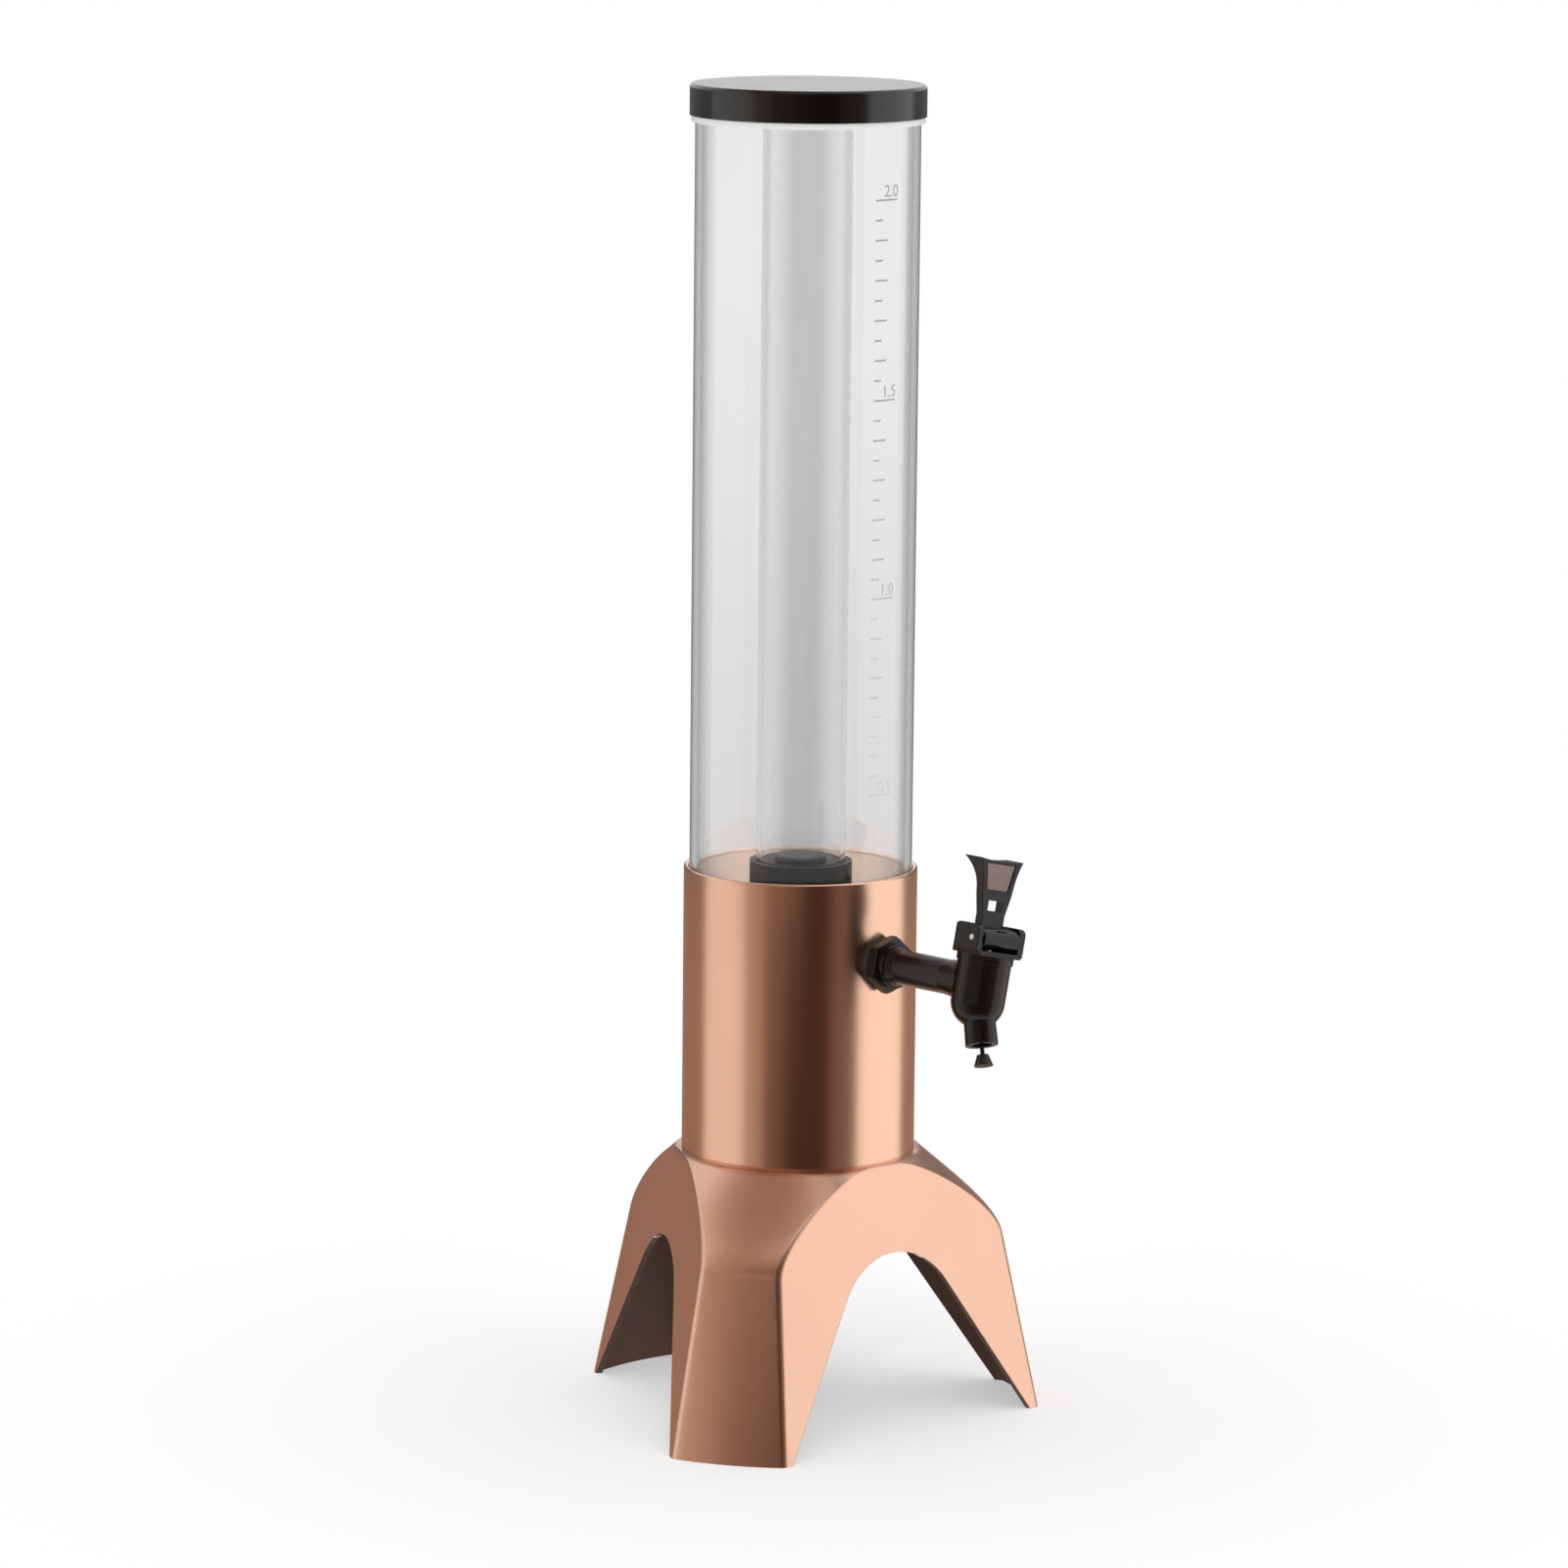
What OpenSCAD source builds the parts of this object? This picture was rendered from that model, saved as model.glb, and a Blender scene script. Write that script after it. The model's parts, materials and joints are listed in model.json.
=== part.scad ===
// Table beer tower: a clear tube with an ice insert stands in a copper sleeve on a three legged base.
// Z is up, the floor is at zero and the tap points to -Y. The origin is the middle of the footprint.

/* [Tower] */
// Height of the whole tower, from the floor to the lid
total_h = 600; // [480:5:760]
// Height of the three legged base
base_h = 121; // [110:1:140]
// Length of the copper sleeve above the base
sleeve_l = 129; // [120:1:160]
// Drop from the sleeve's rim to the middle of the tap's pipe
tap_drop = 37.5; // [34:0.5:44]
// Drop from the middle of the tap's pipe to the reservoir floor
floor_drop = 16.5; // [15:0.5:20]

/* [Clear tube and sleeve] */
// Outer diameter of the clear tube
tube_od = 100; // [94:1:106]
// Wall of the clear tube
tube_wall = 3; // [2:0.5:4]
// Gap between the clear tube and the sleeve
sleeve_gap = 1; // [0.6:0.1:1.6]
// Wall of the copper sleeve
sleeve_wall = 1.5; // [1:0.1:2.5]

/* [Base] */
// Step from the sleeve out to the collar of the base
collar_step = 2.4; // [1:0.1:4]
// Reach of the legs from the tower's axis
leg_reach = 110.6; // [104:0.2:124]
// Wall of the base shell
base_wall = 3; // [2:0.5:4]
// Thickness of the web that closes the base at the top
web_t = 4; // [3:0.5:6]
// Hole in the middle of the web
web_hole_d = 50; // [40:1:60]
// Slope of the flat faces between the legs, in degrees
face_slope = 10.2; // [8:0.1:12]
// How far the flat faces cut into the collar
face_bite = 0.5; // [0.2:0.1:1.5]
// Height of the arches
arch_h = 82; // [70:1:90]
// Radius of the arches' crown
crown_r = 37.5; // [32:0.5:42]
// Width of an arch's limb at the floor
limb_w = 5; // [4:0.5:9]
// Rounding between the flat faces and the legs' outer panels
edge_r = 5; // [1:0.5:7]

/* [Seat ring and screws] */
// Thickness of the ring that carries the tube
seat_t = 6; // [5:0.5:9]
// Width of the ring that carries the tube
seat_w = 22; // [18:1:26]
// Diameter of the screws' shanks
screw_d = 5; // [4:0.5:6]
// Diameter of the screws' heads
screw_head_d = 9; // [8:0.5:10]
// Height of the screws' heads
screw_head_h = 3; // [2:0.5:4]
// Outer diameter of the washers
washer_d = 11; // [10:0.5:12]
// Thickness of the washers
washer_t = 1; // [0.8:0.1:1.6]

/* [Tube plug] */
// Wall of the plug that closes the tube from below
plug_wall = 4; // [3.5:0.5:6]
// Thickness of the reservoir floor
plug_floor_t = 4; // [3:0.5:6]
// Section of the two rubber rings on the plug
plug_seal_d = 2.3; // [2:0.1:2.6]
// Distance between the two rubber rings
plug_seal_pitch = 7; // [5:0.5:10]

/* [Lid] */
// Height of the lid's edge
lid_h = 14; // [11:0.5:20]
// Thickness of the lid's top
lid_t = 3; // [2:0.5:4]
// Wall of the lid's skirt
skirt_t = 1.3; // [1:0.1:2]
// Rounding of the lid's upper edge
lid_edge_r = 1.6; // [0.6:0.2:2.4]
// Length of the ring that guides the lid inside the tube
guide_l = 12; // [8:0.5:20]
// Wall of the rings under the lid
guide_t = 2; // [1.5:0.5:3]
// Wall of the soft gasket inside the skirt
gasket_t = 0.8; // [0.6:0.1:1.2]
// Bead of the gasket that shows below the skirt
gasket_bead_h = 2.8; // [2:0.1:4]

/* [Ice insert] */
// Outer diameter of the ice tube
ice_od = 40; // [36:1:44]
// Wall of the ice tube
ice_wall = 2; // [1.5:0.5:3]
// Rise of the foot's cup above the sleeve's rim
cup_rise = 2.5; // [0:0.5:10]
// Height of the foot's cup
cup_h = 16.5; // [12:0.5:22]
// Wall of the foot's cup
cup_wall = 2.7; // [2:0.1:3.5]
// Diameter of the raised middle inside the ice tube
boss_d = 23; // [16:1:26]
// Rise of that middle above the cup
boss_rise = 2.5; // [1:0.5:6]
// Diameter of the pillar under the cup
pillar_d = 14; // [10:1:18]
// Diameter of the pad that stands on the reservoir floor
pad_d = 30; // [24:1:36]
// Thickness of the pad
pad_t = 3; // [2:0.5:4]
// Thickness of the three fins beside the pillar
fin_t = 2.5; // [2:0.5:4]
// Section of the rubber ring in the ice tube
ice_seal_d = 1.8; // [1.6:0.1:2.2]

/* [Tap body] */
// Turn of the whole tap about its pipe, in degrees
tap_turn = 12.5; // [-15:0.5:15]
// Distance from the tower's axis to the tap's barrel
barrel_reach = 114; // [104:1:124]
// Diameter of the shank through the walls
shank_d = 16; // [14:0.5:17]
// Diameter of the pipe
pipe_d = 15.6; // [13:0.2:16]
// Bore of shank and pipe
pipe_bore = 9; // [7:0.5:10]
// Diameter of the barrel
barrel_d = 24; // [22:0.5:27]
// Bore of the barrel, the valve chamber
chamber_d = 16; // [15:0.5:17]
// Height of the barrel's rim above the pipe's middle
barrel_rise = 11.5; // [11:0.5:14]
// Drop of the valve seat below the pipe's middle
seat_drop = 7.5; // [7:0.5:9]
// Lean of the spout towards the front, in degrees
spout_lean = 20; // [0:1:26]
// Length of the spout
spout_l = 19.7; // [16:0.1:26]
// Diameter of the spout
spout_d = 13.8; // [12:0.2:16]
// Diameter of the spout at its mouth
mouth_d = 14.6; // [12:0.2:17]
// Bore of the spout
spout_bore = 9; // [7:0.5:10]

/* [Tap fixing] */
// Width across the corners of the collar nut
flange_d = 26; // [24:0.5:30]
// Thickness of the collar nut
flange_t = 5; // [4:0.5:7]
// Diameter of the collar nut's round step
flange_step_d = 20; // [19:0.5:22]
// Height of the collar nut's round step
flange_step_h = 3; // [2:0.5:4]
// Width across the corners of the lock nut inside the tube
lock_nut_d = 25; // [23:0.5:28]
// Thickness of the lock nut
lock_nut_t = 6; // [5:0.5:8]
// Outer diameter of the two saddle washers
saddle_d = 23; // [21:0.5:24]
// Thickness of the saddle washers in their middle
saddle_t = 2; // [1.5:0.5:3]

/* [Tap bonnet and lever] */
// Width across the two ears
ears_w = 30; // [28:0.5:34]
// Thickness of an ear
ear_t = 3.5; // [3:0.5:4]
// Rise of the ears above the hinge
ear_rise = 6; // [5.5:0.5:8]
// Thickness of the wall that joins the ears behind the lever
guard_t = 2.5; // [2:0.5:3]
// Rise of that wall above the hinge
guard_rise = 4.5; // [2:0.5:5]
// Height of the lever's hinge above the barrel's rim
pivot_rise = 8.5; // [8.5:0.5:11]
// Distance from the valve stem to the lever's hinge
pivot_arm = 4; // [3.9:0.1:4.4]
// Diameter of the hinge pin
pivot_d = 2.6; // [2:0.2:2.6]
// Radius of the lever's boss round the hinge pin
boss_r = 5; // [4.2:0.2:5]
// Height of the lever's top above the hinge
lever_h = 35; // [28:1:45]
// Half of the lever's width at its top
lever_top_half_w = 13.4; // [11:0.2:16]
// Half of the lever's width at its neck
lever_neck_half_w = 7; // [6:0.5:9]
// Thickness of the lever's neck
lever_t = 4; // [3:0.5:5]
// Depth of the lever's thumb rest at its top
lever_top_t = 10.5; // [7:0.5:13]
// Travel of the lever, in degrees
lever_travel = 38; // [25:1:40]

/* [Valve] */
// Diameter of the valve stem
stem_d = 5; // [4:0.2:5]
// Diameter of the stem's cross pin
cross_pin_d = 2; // [1.6:0.2:2]
// Diameter of the rubber valve plug
plug_d = 13.8; // [12:0.2:14]
// Thickness of the rubber valve plug
valve_plug_t = 3.2; // [2.5:0.1:3.6]
// Wire of the valve spring
wire_d = 1; // [0.8:0.1:1.1]
// Outer diameter of the valve spring
spring_d = 12; // [10:0.5:13]
// Turns of the valve spring
spring_turns = 4; // [3:1:4]

/* [Drip guide] */
// Diameter of the guide's pin
guide_pin_d = 2; // [1.6:0.2:3]
// Reach of the guide's cone from the barrel's ball, along the spout
guide_reach = 29; // [27:0.5:34]
// Height of the guide's cone
guide_cone_h = 5; // [3:0.5:6]
// Diameter of the guide's cone
guide_cone_d = 8.6; // [6:0.2:9]

/* [Hidden] */
$fn = 96;

// Overrun of every cut
cut = 1;
// Clearance of pieces that seat in or on each other
fit = 0.3;
// Clearance of pins, stems and seals in their bores
close_fit = 0.1;
// Facets of the big round cuts that shape the small washers
fine_fn = 360;

// Radii of the tube, sleeve and lid
tube_r = tube_od / 2;
tube_ir = tube_r - tube_wall;
sleeve_ir = tube_r + sleeve_gap;
sleeve_r = sleeve_ir + sleeve_wall;
rim_d = sleeve_wall + sleeve_gap / 2;
lid_ir = tube_r + fit + gasket_t + close_fit;
lid_r = lid_ir + skirt_t;

// Heights above the floor
rim_z = base_h + sleeve_l;
tap_z = rim_z - tap_drop;
floor_z = tap_z - floor_drop;
seat_z = base_h + seat_t;
lid_under_z = total_h - lid_t;
tube_top_z = lid_under_z - fit;

// Base: the bell's shoulder as shares of its width and of the base's height
collar_r = sleeve_r + collar_step;
shoulder_r_shares = [0, 0.23, 0.65, 0.693];
shoulder_h_shares = [0, 0.097, 0.237, 0.335];
shoulder_steps = 16;
shoulder = [for (i = [0:3])
    [collar_r + shoulder_r_shares[i] * (leg_reach - collar_r), base_h * (1 - shoulder_h_shares[i])]];
face_r = collar_r - face_bite;
face_angles = [-90, 30, 150];
face_pitch = 360 / len(face_angles);
edge_steps = 4;
panel_steps = 16;
foot_face_r = face_r + base_h * tan(face_slope);
arch_half_w = sqrt(pow(leg_reach, 2) - pow(foot_face_r, 2)) - limb_w;
crown_z = arch_h - crown_r;
arch_splay = acos(crown_r / norm([arch_half_w, crown_z])) - atan2(crown_z, arch_half_w);

// Seat ring
seat_r = sleeve_ir - fit;
seat_ir = seat_r - seat_w;
screw_r = (seat_r + seat_ir) / 2;
screw_hole_d = screw_d + 2 * fit;
screw_angles = [for (a = face_angles) a + 180];
screw_bite_share = 0.75;

// Tube plug and its two rubber rings
plug_r = tube_ir - fit;
plug_seal_r = tube_ir - close_fit - plug_seal_d / 2;
plug_groove_r = plug_seal_r - plug_seal_d / 2 - close_fit;
plug_groove_h = plug_seal_d + 2 * fit;
plug_seal_zs = [for (i = [0:1]) floor_z - plug_floor_t - plug_seal_d - i * plug_seal_pitch];

// Ice insert
ice_r = ice_od / 2;
ice_ir = ice_r - ice_wall;
cup_z = rim_z + cup_rise;
cup_under_z = cup_z - cup_h;
cup_floor_t = cup_wall;
cup_r = ice_r + fit + cup_wall;
ice_low_z = cup_under_z + cup_floor_t;
spigot_r = ice_ir - fit;
ice_seal_r = ice_ir - close_fit - ice_seal_d / 2;
ice_groove_r = ice_seal_r - ice_seal_d / 2 - close_fit;
ice_groove_h = ice_seal_d + 2 * fit;
ice_seal_z = (ice_low_z + cup_z) / 2;
pad_z = floor_z + fit;
fin_angles = [90, 210, 330];

// Tap, measured outwards from the tower's axis
hole_d = shank_d + 2 * fit;
saddle_out_r = sleeve_r + saddle_t;
saddle_in_r = tube_ir - saddle_t - close_fit;
lock_nut_r = saddle_in_r - lock_nut_t;
shank_inner_r = lock_nut_r - 2 * saddle_t;
flange_end_r = saddle_out_r + flange_t + flange_step_h;
nut_bore_d = shank_d + 2 * close_fit;
flare_l = pipe_d / 2;
flare_d = pipe_d + flare_l / 2;
ball_drop = seat_drop + close_fit * 5;
spout_bore_start = spout_bore / 3;
rim_bead_t = 0.6;
rim_bead_h = 2;

// Bonnet
bonnet_plug_d = chamber_d - 2 * close_fit;
bonnet_plug_l = 5.5;
bonnet_ring_h = 1.1;
pivot_h = barrel_rise + pivot_rise;
head_low_z = barrel_rise + bonnet_ring_h;
deck_z = pivot_h - boss_r - fit;
deck_front = pivot_arm + boss_r;
ear_front = deck_front - 1;
ear_back = pivot_arm;
ear_top_r = 3;
ear_top_z = pivot_h + ear_rise;
ear_chamfer_h = 2.8;
guard_back = 2 * pivot_arm + 1;
guard_corner_r = 5;
front_corner_r = 1.5;
channel_half_w = ears_w / 2 - ear_t;
stem_bore_d = stem_d + 2 * close_fit;
stem_seal_d = 1.7;
stem_seal_r = stem_d / 2 + close_fit + stem_seal_d / 2;
stem_groove_r = stem_seal_r + stem_seal_d / 2 + close_fit;
stem_groove_h = stem_seal_d + 2 * fit;
stem_seal_z = barrel_rise - bonnet_plug_l / 2;

// Lever, with its side and front outlines as shares of its height above the hinge
boss_half_w = channel_half_w - fit;
bar_back = 2 * pivot_arm;
bar_back_r = 2;
blade_front = 0.9;
blade_back = lever_t - blade_front;
thumb_back_shares = [0, 0, 0.25, 1];
thumb_h_shares = [0.56, 0.76, 0.87, 1];
flare_w_shares = [0.36, 0.45, 0.62, 1];
flare_h_shares = [0.56, 0.73, 0.87, 1];
neck_h_share = 0.3;
lever_steps = 10;
lever_top_sag = 0.9;
fork_half_w = stem_d / 2 + 2 * fit;
fork_h = boss_r - 1;
fork_web_t = 1.5;
slot_r = cross_pin_d / 2 + fit + close_fit / 2;
slot_l = pivot_arm / cos(lever_travel) - pivot_arm;
cross_pin_l = 2 * fork_half_w + 2 * ear_t;
window_w = 9;
window_h = 4.6;
window_h_share = 0.41;
label_d = 0.6;
label_h_shares = [0.6, 0.95];
label_w_shares = [0.95, 0.68];

// Valve
stem_low = seat_drop - valve_plug_t / 2;
stem_top = pivot_h + cross_pin_d;
plug_low = seat_drop - fit;
plug_tip_l = 1.6;
stem_collar_t = 1;
stem_collar_d = spring_d;
spring_low = -plug_low + valve_plug_t + stem_collar_t + close_fit;
spring_top = barrel_rise - bonnet_plug_l - close_fit;
spring_rings = 8;
spring_sides = 6;

// Drip guide
spider_l = 3.5;
spider_t = 1.6;
spider_end = spout_l - 2;
cone_neck_d = guide_cone_d * 0.6;

// The footprint runs from the drip guide at the front to the rear leg
tap_reach = barrel_reach + guide_reach * sin(spout_lean) + guide_cone_d / 2 * cos(spout_lean);
tower_y = (tap_reach - leg_reach) / 2;

// Points on an arc about c from angle a to angle b
function arc(c, r, a, b, n) =
    [for (i = [0:n]) let (t = a + (b - a) * i / n) c + r * [cos(t), sin(t)]];

// Point and direction on a cubic curve with four control points
function curve(p, t) =
    pow(1 - t, 3) * p[0] + 3 * t * pow(1 - t, 2) * p[1] + 3 * t * t * (1 - t) * p[2] + pow(t, 3) * p[3];
function curve_dir(p, t) =
    pow(1 - t, 2) * (p[1] - p[0]) + 2 * t * (1 - t) * (p[2] - p[1]) + t * t * (p[3] - p[2]);

// Third of the base's outline where the bell has the radius r and the flat face lies at d from the axis
function face_part(r, d) =
    let (turn = acos((d - edge_r) / (r - edge_r)), c = (r - edge_r) * [cos(turn), sin(turn)],
        step = (face_pitch - 2 * turn) / panel_steps)
    concat(arc([c[0], -c[1]], edge_r, -turn, 0, edge_steps), arc(c, edge_r, 0, turn, edge_steps),
        arc([0, 0], r, turn + step, face_pitch - turn - step, panel_steps - 2));
function base_section(r, z) =
    [for (a = face_angles, p = face_part(r, face_r + (base_h - z) * tan(face_slope)))
        [p[0] * cos(a) - p[1] * sin(a), p[0] * sin(a) + p[1] * cos(a), z]];

// Side of the bell from collar to foot, moved inwards by w and carried down to the height -low
function inward(d) = [d[1], -d[0]] / norm(d);
function bell_side(w, low) =
    let (foot = [leg_reach, 0], leg = foot - shoulder[3], start = shoulder[3] + w * inward(leg))
    concat(
        [for (i = [0:shoulder_steps]) let (t = i / shoulder_steps)
            curve(shoulder, t) + w * inward(curve_dir(shoulder, t))],
        [start + leg * (start[1] + low) / -leg[1]]);

module on_tower() {
    translate([0, tower_y, 0]) children();
}

// The tap's own frame: X across, -Y outwards and Z up, turned about the pipe
module on_tap() {
    on_tower() translate([0, 0, tap_z]) rotate([0, tap_turn, 0]) children();
}

module on_barrel() {
    on_tap() translate([0, -barrel_reach, 0]) children();
}

// Turns Z outwards along the pipe, starting r from the tower's axis
module along_pipe(r) {
    translate([0, -r, 0]) rotate([90, 0, 0]) children();
}

module along_spout(s) {
    translate([0, 0, -ball_drop]) rotate([180 - spout_lean, 0, 0]) translate([0, 0, s]) children();
}

// Turns Z along X, for pins that lie across the tap
module across(y, z) {
    translate([0, y, z]) rotate([0, 90, 0]) children();
}

// Extrudes an outline drawn in Y and Z across the tap
module across_outline(w) {
    rotate([90, 0, 90]) linear_extrude(w, center = true) children();
}

module ring(r, ir, h) {
    difference() {
        cylinder(r = r, h = h);
        translate([0, 0, -cut]) cylinder(r = ir, h = h + 2 * cut);
    }
}

module rubber_ring(r, d) {
    rotate_extrude() translate([r, 0]) circle(d = d, $fn = 24);
}

// Base
module bell(w, low) {
    rotate_extrude() polygon(concat([[0, base_h]], bell_side(w, low), [[0, -low]]));
}

module face_side(w) {
    span = 4 * leg_reach;
    translate([face_r, 0, base_h]) rotate([0, -face_slope, 0])
        translate([-w - span, -span / 2, -span / 2]) cube(span);
}

module inner_form() {
    intersection() {
        bell(base_wall, cut);
        rotate([0, 0, face_angles[0]]) face_side(base_wall);
        rotate([0, 0, face_angles[1]]) face_side(base_wall);
        rotate([0, 0, face_angles[2]]) face_side(base_wall);
    }
}

// The bell cut by the three flat faces with round edges, as sections from the collar down to the feet
module outer_form() {
    sections = [for (p = bell_side(0, 0)) base_section(p[0], p[1])];
    n = len(sections[0]);
    last = (len(sections) - 1) * n;
    walls = [for (i = [0:n:last - n], k = [0:n - 1]) let (k2 = (k + 1) % n)
        each [[i + k, i + k2, i + n + k2], [i + k, i + n + k2, i + n + k]]];
    caps = [[for (k = [1:n]) n - k], [for (k = [0:n - 1]) last + k]];
    polyhedron(points = [for (s = sections) each s], faces = concat(walls, caps));
}

// A round crown with straight limbs that leave it as tangents
module arch_outline() {
    touch = [0, crown_z] + crown_r * [cos(arch_splay), sin(arch_splay)];
    low = [arch_half_w + cut * tan(arch_splay), -cut];
    translate([0, crown_z]) circle(crown_r);
    polygon([[-touch[0], touch[1]], [-low[0], low[1]], low, touch]);
}

module tripod_base() {
    color([0.76, 0.5, 0.38]) on_tower() difference() {
        outer_form();
        intersection() {
            inner_form();
            translate([0, 0, -cut]) cylinder(r = leg_reach, h = base_h - web_t + cut);
        }
        for (a = face_angles) rotate([0, 0, a])
            rotate([90, 0, 90]) linear_extrude(leg_reach) arch_outline();
        translate([0, 0, base_h - web_t - cut]) cylinder(d = web_hole_d, h = web_t + 2 * cut);
        at_screws() translate([0, 0, base_h - web_t - cut]) cylinder(d = screw_hole_d, h = web_t + 2 * cut);
    }
}

module at_screws() {
    for (a = screw_angles) rotate([0, 0, a]) translate([screw_r, 0, 0]) children();
}

module base_washers() {
    color([0.75, 0.76, 0.78]) on_tower() at_screws()
        translate([0, 0, base_h - web_t - washer_t]) ring(washer_d / 2, screw_hole_d / 2, washer_t);
}

module base_screws() {
    head_z = base_h - web_t - washer_t - screw_head_h;
    shank_l = washer_t + web_t + seat_t * screw_bite_share;
    color([0.72, 0.73, 0.75]) on_tower() at_screws() translate([0, 0, head_z]) difference() {
        union() {
            cylinder(d = screw_head_d, h = screw_head_h);
            cylinder(d = screw_d, h = screw_head_h + shank_l);
        }
        translate([0, 0, -cut]) cylinder(d = screw_d * 0.7, h = screw_head_h / 2 + cut, $fn = 6);
    }
}

module seat_ring() {
    color([0.6, 0.62, 0.64]) on_tower() difference() {
        translate([0, 0, base_h]) ring(seat_r, seat_ir, seat_t);
        at_screws() translate([0, 0, base_h - cut])
            cylinder(d = screw_d + 2 * close_fit, h = seat_t + 2 * cut);
    }
}

// Sleeve and clear tube
module tap_hole(r) {
    translate([0, 0, tap_z]) along_pipe(r - shank_d / 2) cylinder(d = hole_d, h = shank_d);
}

module sleeve() {
    color([0.8, 0.52, 0.4]) on_tower() difference() {
        union() {
            translate([0, 0, base_h]) ring(sleeve_r, sleeve_ir, sleeve_l - rim_d / 2);
            translate([0, 0, rim_z - rim_d / 2]) rotate_extrude()
                translate([sleeve_r - rim_d / 2, 0]) circle(d = rim_d, $fn = 32);
        }
        tap_hole(sleeve_r);
    }
}

module beer_tube() {
    color([0.85, 0.9, 0.92, 0.35]) on_tower() difference() {
        translate([0, 0, seat_z]) ring(tube_r, tube_ir, tube_top_z - seat_z);
        tap_hole(tube_r);
    }
}

module tube_plug() {
    color([0.12, 0.12, 0.13]) on_tower() difference() {
        translate([0, 0, seat_z]) cylinder(r = plug_r, h = floor_z - seat_z);
        translate([0, 0, seat_z - cut])
            cylinder(r = plug_r - plug_wall, h = floor_z - plug_floor_t - seat_z + cut);
        for (z = plug_seal_zs) translate([0, 0, z - plug_groove_h / 2])
            ring(plug_r + cut, plug_groove_r, plug_groove_h);
    }
}

module plug_seals() {
    color([0.08, 0.08, 0.08]) on_tower()
        for (z = plug_seal_zs) translate([0, 0, z]) rubber_ring(plug_seal_r, plug_seal_d);
}

// Tap body
module tap_body() {
    color([0.1, 0.08, 0.08]) on_tap() difference() {
        union() {
            along_pipe(shank_inner_r) cylinder(d = shank_d, h = flange_end_r - shank_inner_r);
            along_pipe(flange_end_r - cut) cylinder(d = pipe_d, h = barrel_reach - flange_end_r + cut);
            along_pipe(flange_end_r) cylinder(d1 = flange_step_d - flange_step_h / 2, d2 = pipe_d, h = flare_l / 2);
            along_pipe(barrel_reach - barrel_d / 2 - flare_l)
                cylinder(d1 = pipe_d, d2 = flare_d, h = flare_l + barrel_d / 4);
            translate([0, -barrel_reach, 0]) barrel_form();
        }
        along_pipe(shank_inner_r - cut) cylinder(d = pipe_bore, h = barrel_reach - shank_inner_r + cut);
        translate([0, -barrel_reach, 0]) {
            translate([0, 0, -seat_drop]) cylinder(d = chamber_d, h = seat_drop + barrel_rise + cut);
            translate([0, 0, -seat_drop - spout_bore / 2]) cylinder(d = spout_bore - cut, h = spout_bore);
            along_spout(spout_bore_start) cylinder(d = spout_bore, h = spout_l);
        }
    }
}

module barrel_form() {
    translate([0, 0, -ball_drop]) cylinder(d = barrel_d, h = ball_drop + barrel_rise);
    translate([0, 0, -ball_drop]) sphere(d = barrel_d);
    translate([0, 0, barrel_rise - rim_bead_h]) cylinder(d = barrel_d + 2 * rim_bead_t, h = rim_bead_h);
    along_spout(0) cylinder(d1 = spout_d, d2 = mouth_d, h = spout_l);
}

// Tap fixing
module chamfered_nut(d, h) {
    chamfer = h / 5;
    intersection() {
        rotate([0, 0, 30]) cylinder(d = d, h = h, $fn = 6);
        rotate_extrude() polygon([[0, 0], [d / 2 - chamfer, 0], [d / 2, chamfer],
            [d / 2, h - chamfer], [d / 2 - chamfer, h], [0, h]]);
    }
}

module flange_nut() {
    color([0.1, 0.08, 0.08]) on_tap() along_pipe(saddle_out_r) difference() {
        union() {
            chamfered_nut(flange_d, flange_t);
            cylinder(d = flange_step_d, h = flange_t + flange_step_h);
        }
        translate([0, 0, -cut]) cylinder(d = nut_bore_d, h = flange_t + flange_step_h + 2 * cut);
    }
}

module shank_nut() {
    color([0.1, 0.09, 0.09]) on_tap() along_pipe(lock_nut_r) difference() {
        chamfered_nut(lock_nut_d, lock_nut_t);
        translate([0, 0, -cut]) cylinder(d = nut_bore_d, h = lock_nut_t + 2 * cut);
    }
}

module outer_washer() {
    color([0.07, 0.07, 0.07]) on_tower() difference() {
        translate([0, 0, tap_z]) along_pipe(sleeve_r - saddle_t * 2)
            ring(saddle_d / 2, nut_bore_d / 2, saddle_t * 3);
        cylinder(r = sleeve_r + close_fit, h = total_h, $fn = fine_fn);
    }
}

module inner_washer() {
    color([0.07, 0.07, 0.07]) on_tower() intersection() {
        translate([0, 0, tap_z]) along_pipe(saddle_in_r) ring(saddle_d / 2, nut_bore_d / 2, saddle_t * 2);
        cylinder(r = tube_ir - close_fit, h = total_h, $fn = fine_fn);
    }
}

// Bonnet with the guard that carries the lever: two ears and a wall behind them
module head_front_outline() {
    low = barrel_d / 2 + rim_bead_t;
    side = ears_w / 2;
    polygon([[-low, head_low_z], [low, head_low_z], [side, head_low_z + ear_chamfer_h], [side, ear_top_z],
        [-side, ear_top_z], [-side, head_low_z + ear_chamfer_h]]);
}

module head_side_outline() {
    polygon(concat([[-deck_front, head_low_z], [-deck_front, deck_z], [-ear_front, deck_z]],
        arc([-ear_front + ear_top_r, ear_top_z - ear_top_r], ear_top_r, 180, 90, 10),
        [[ear_back, ear_top_z], [guard_back, pivot_h + guard_rise], [guard_back, head_low_z]]));
}

// Plate seen from above, with round corners
module plate_outline(half_w, front, back, front_r, back_r) {
    polygon(concat(
        arc([half_w - front_r, -front + front_r], front_r, -90, 0, 6),
        arc([half_w - back_r, back - back_r], back_r, 0, 90, 10),
        arc([-half_w + back_r, back - back_r], back_r, 90, 180, 10),
        arc([-half_w + front_r, -front + front_r], front_r, 180, 270, 6)));
}

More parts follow.
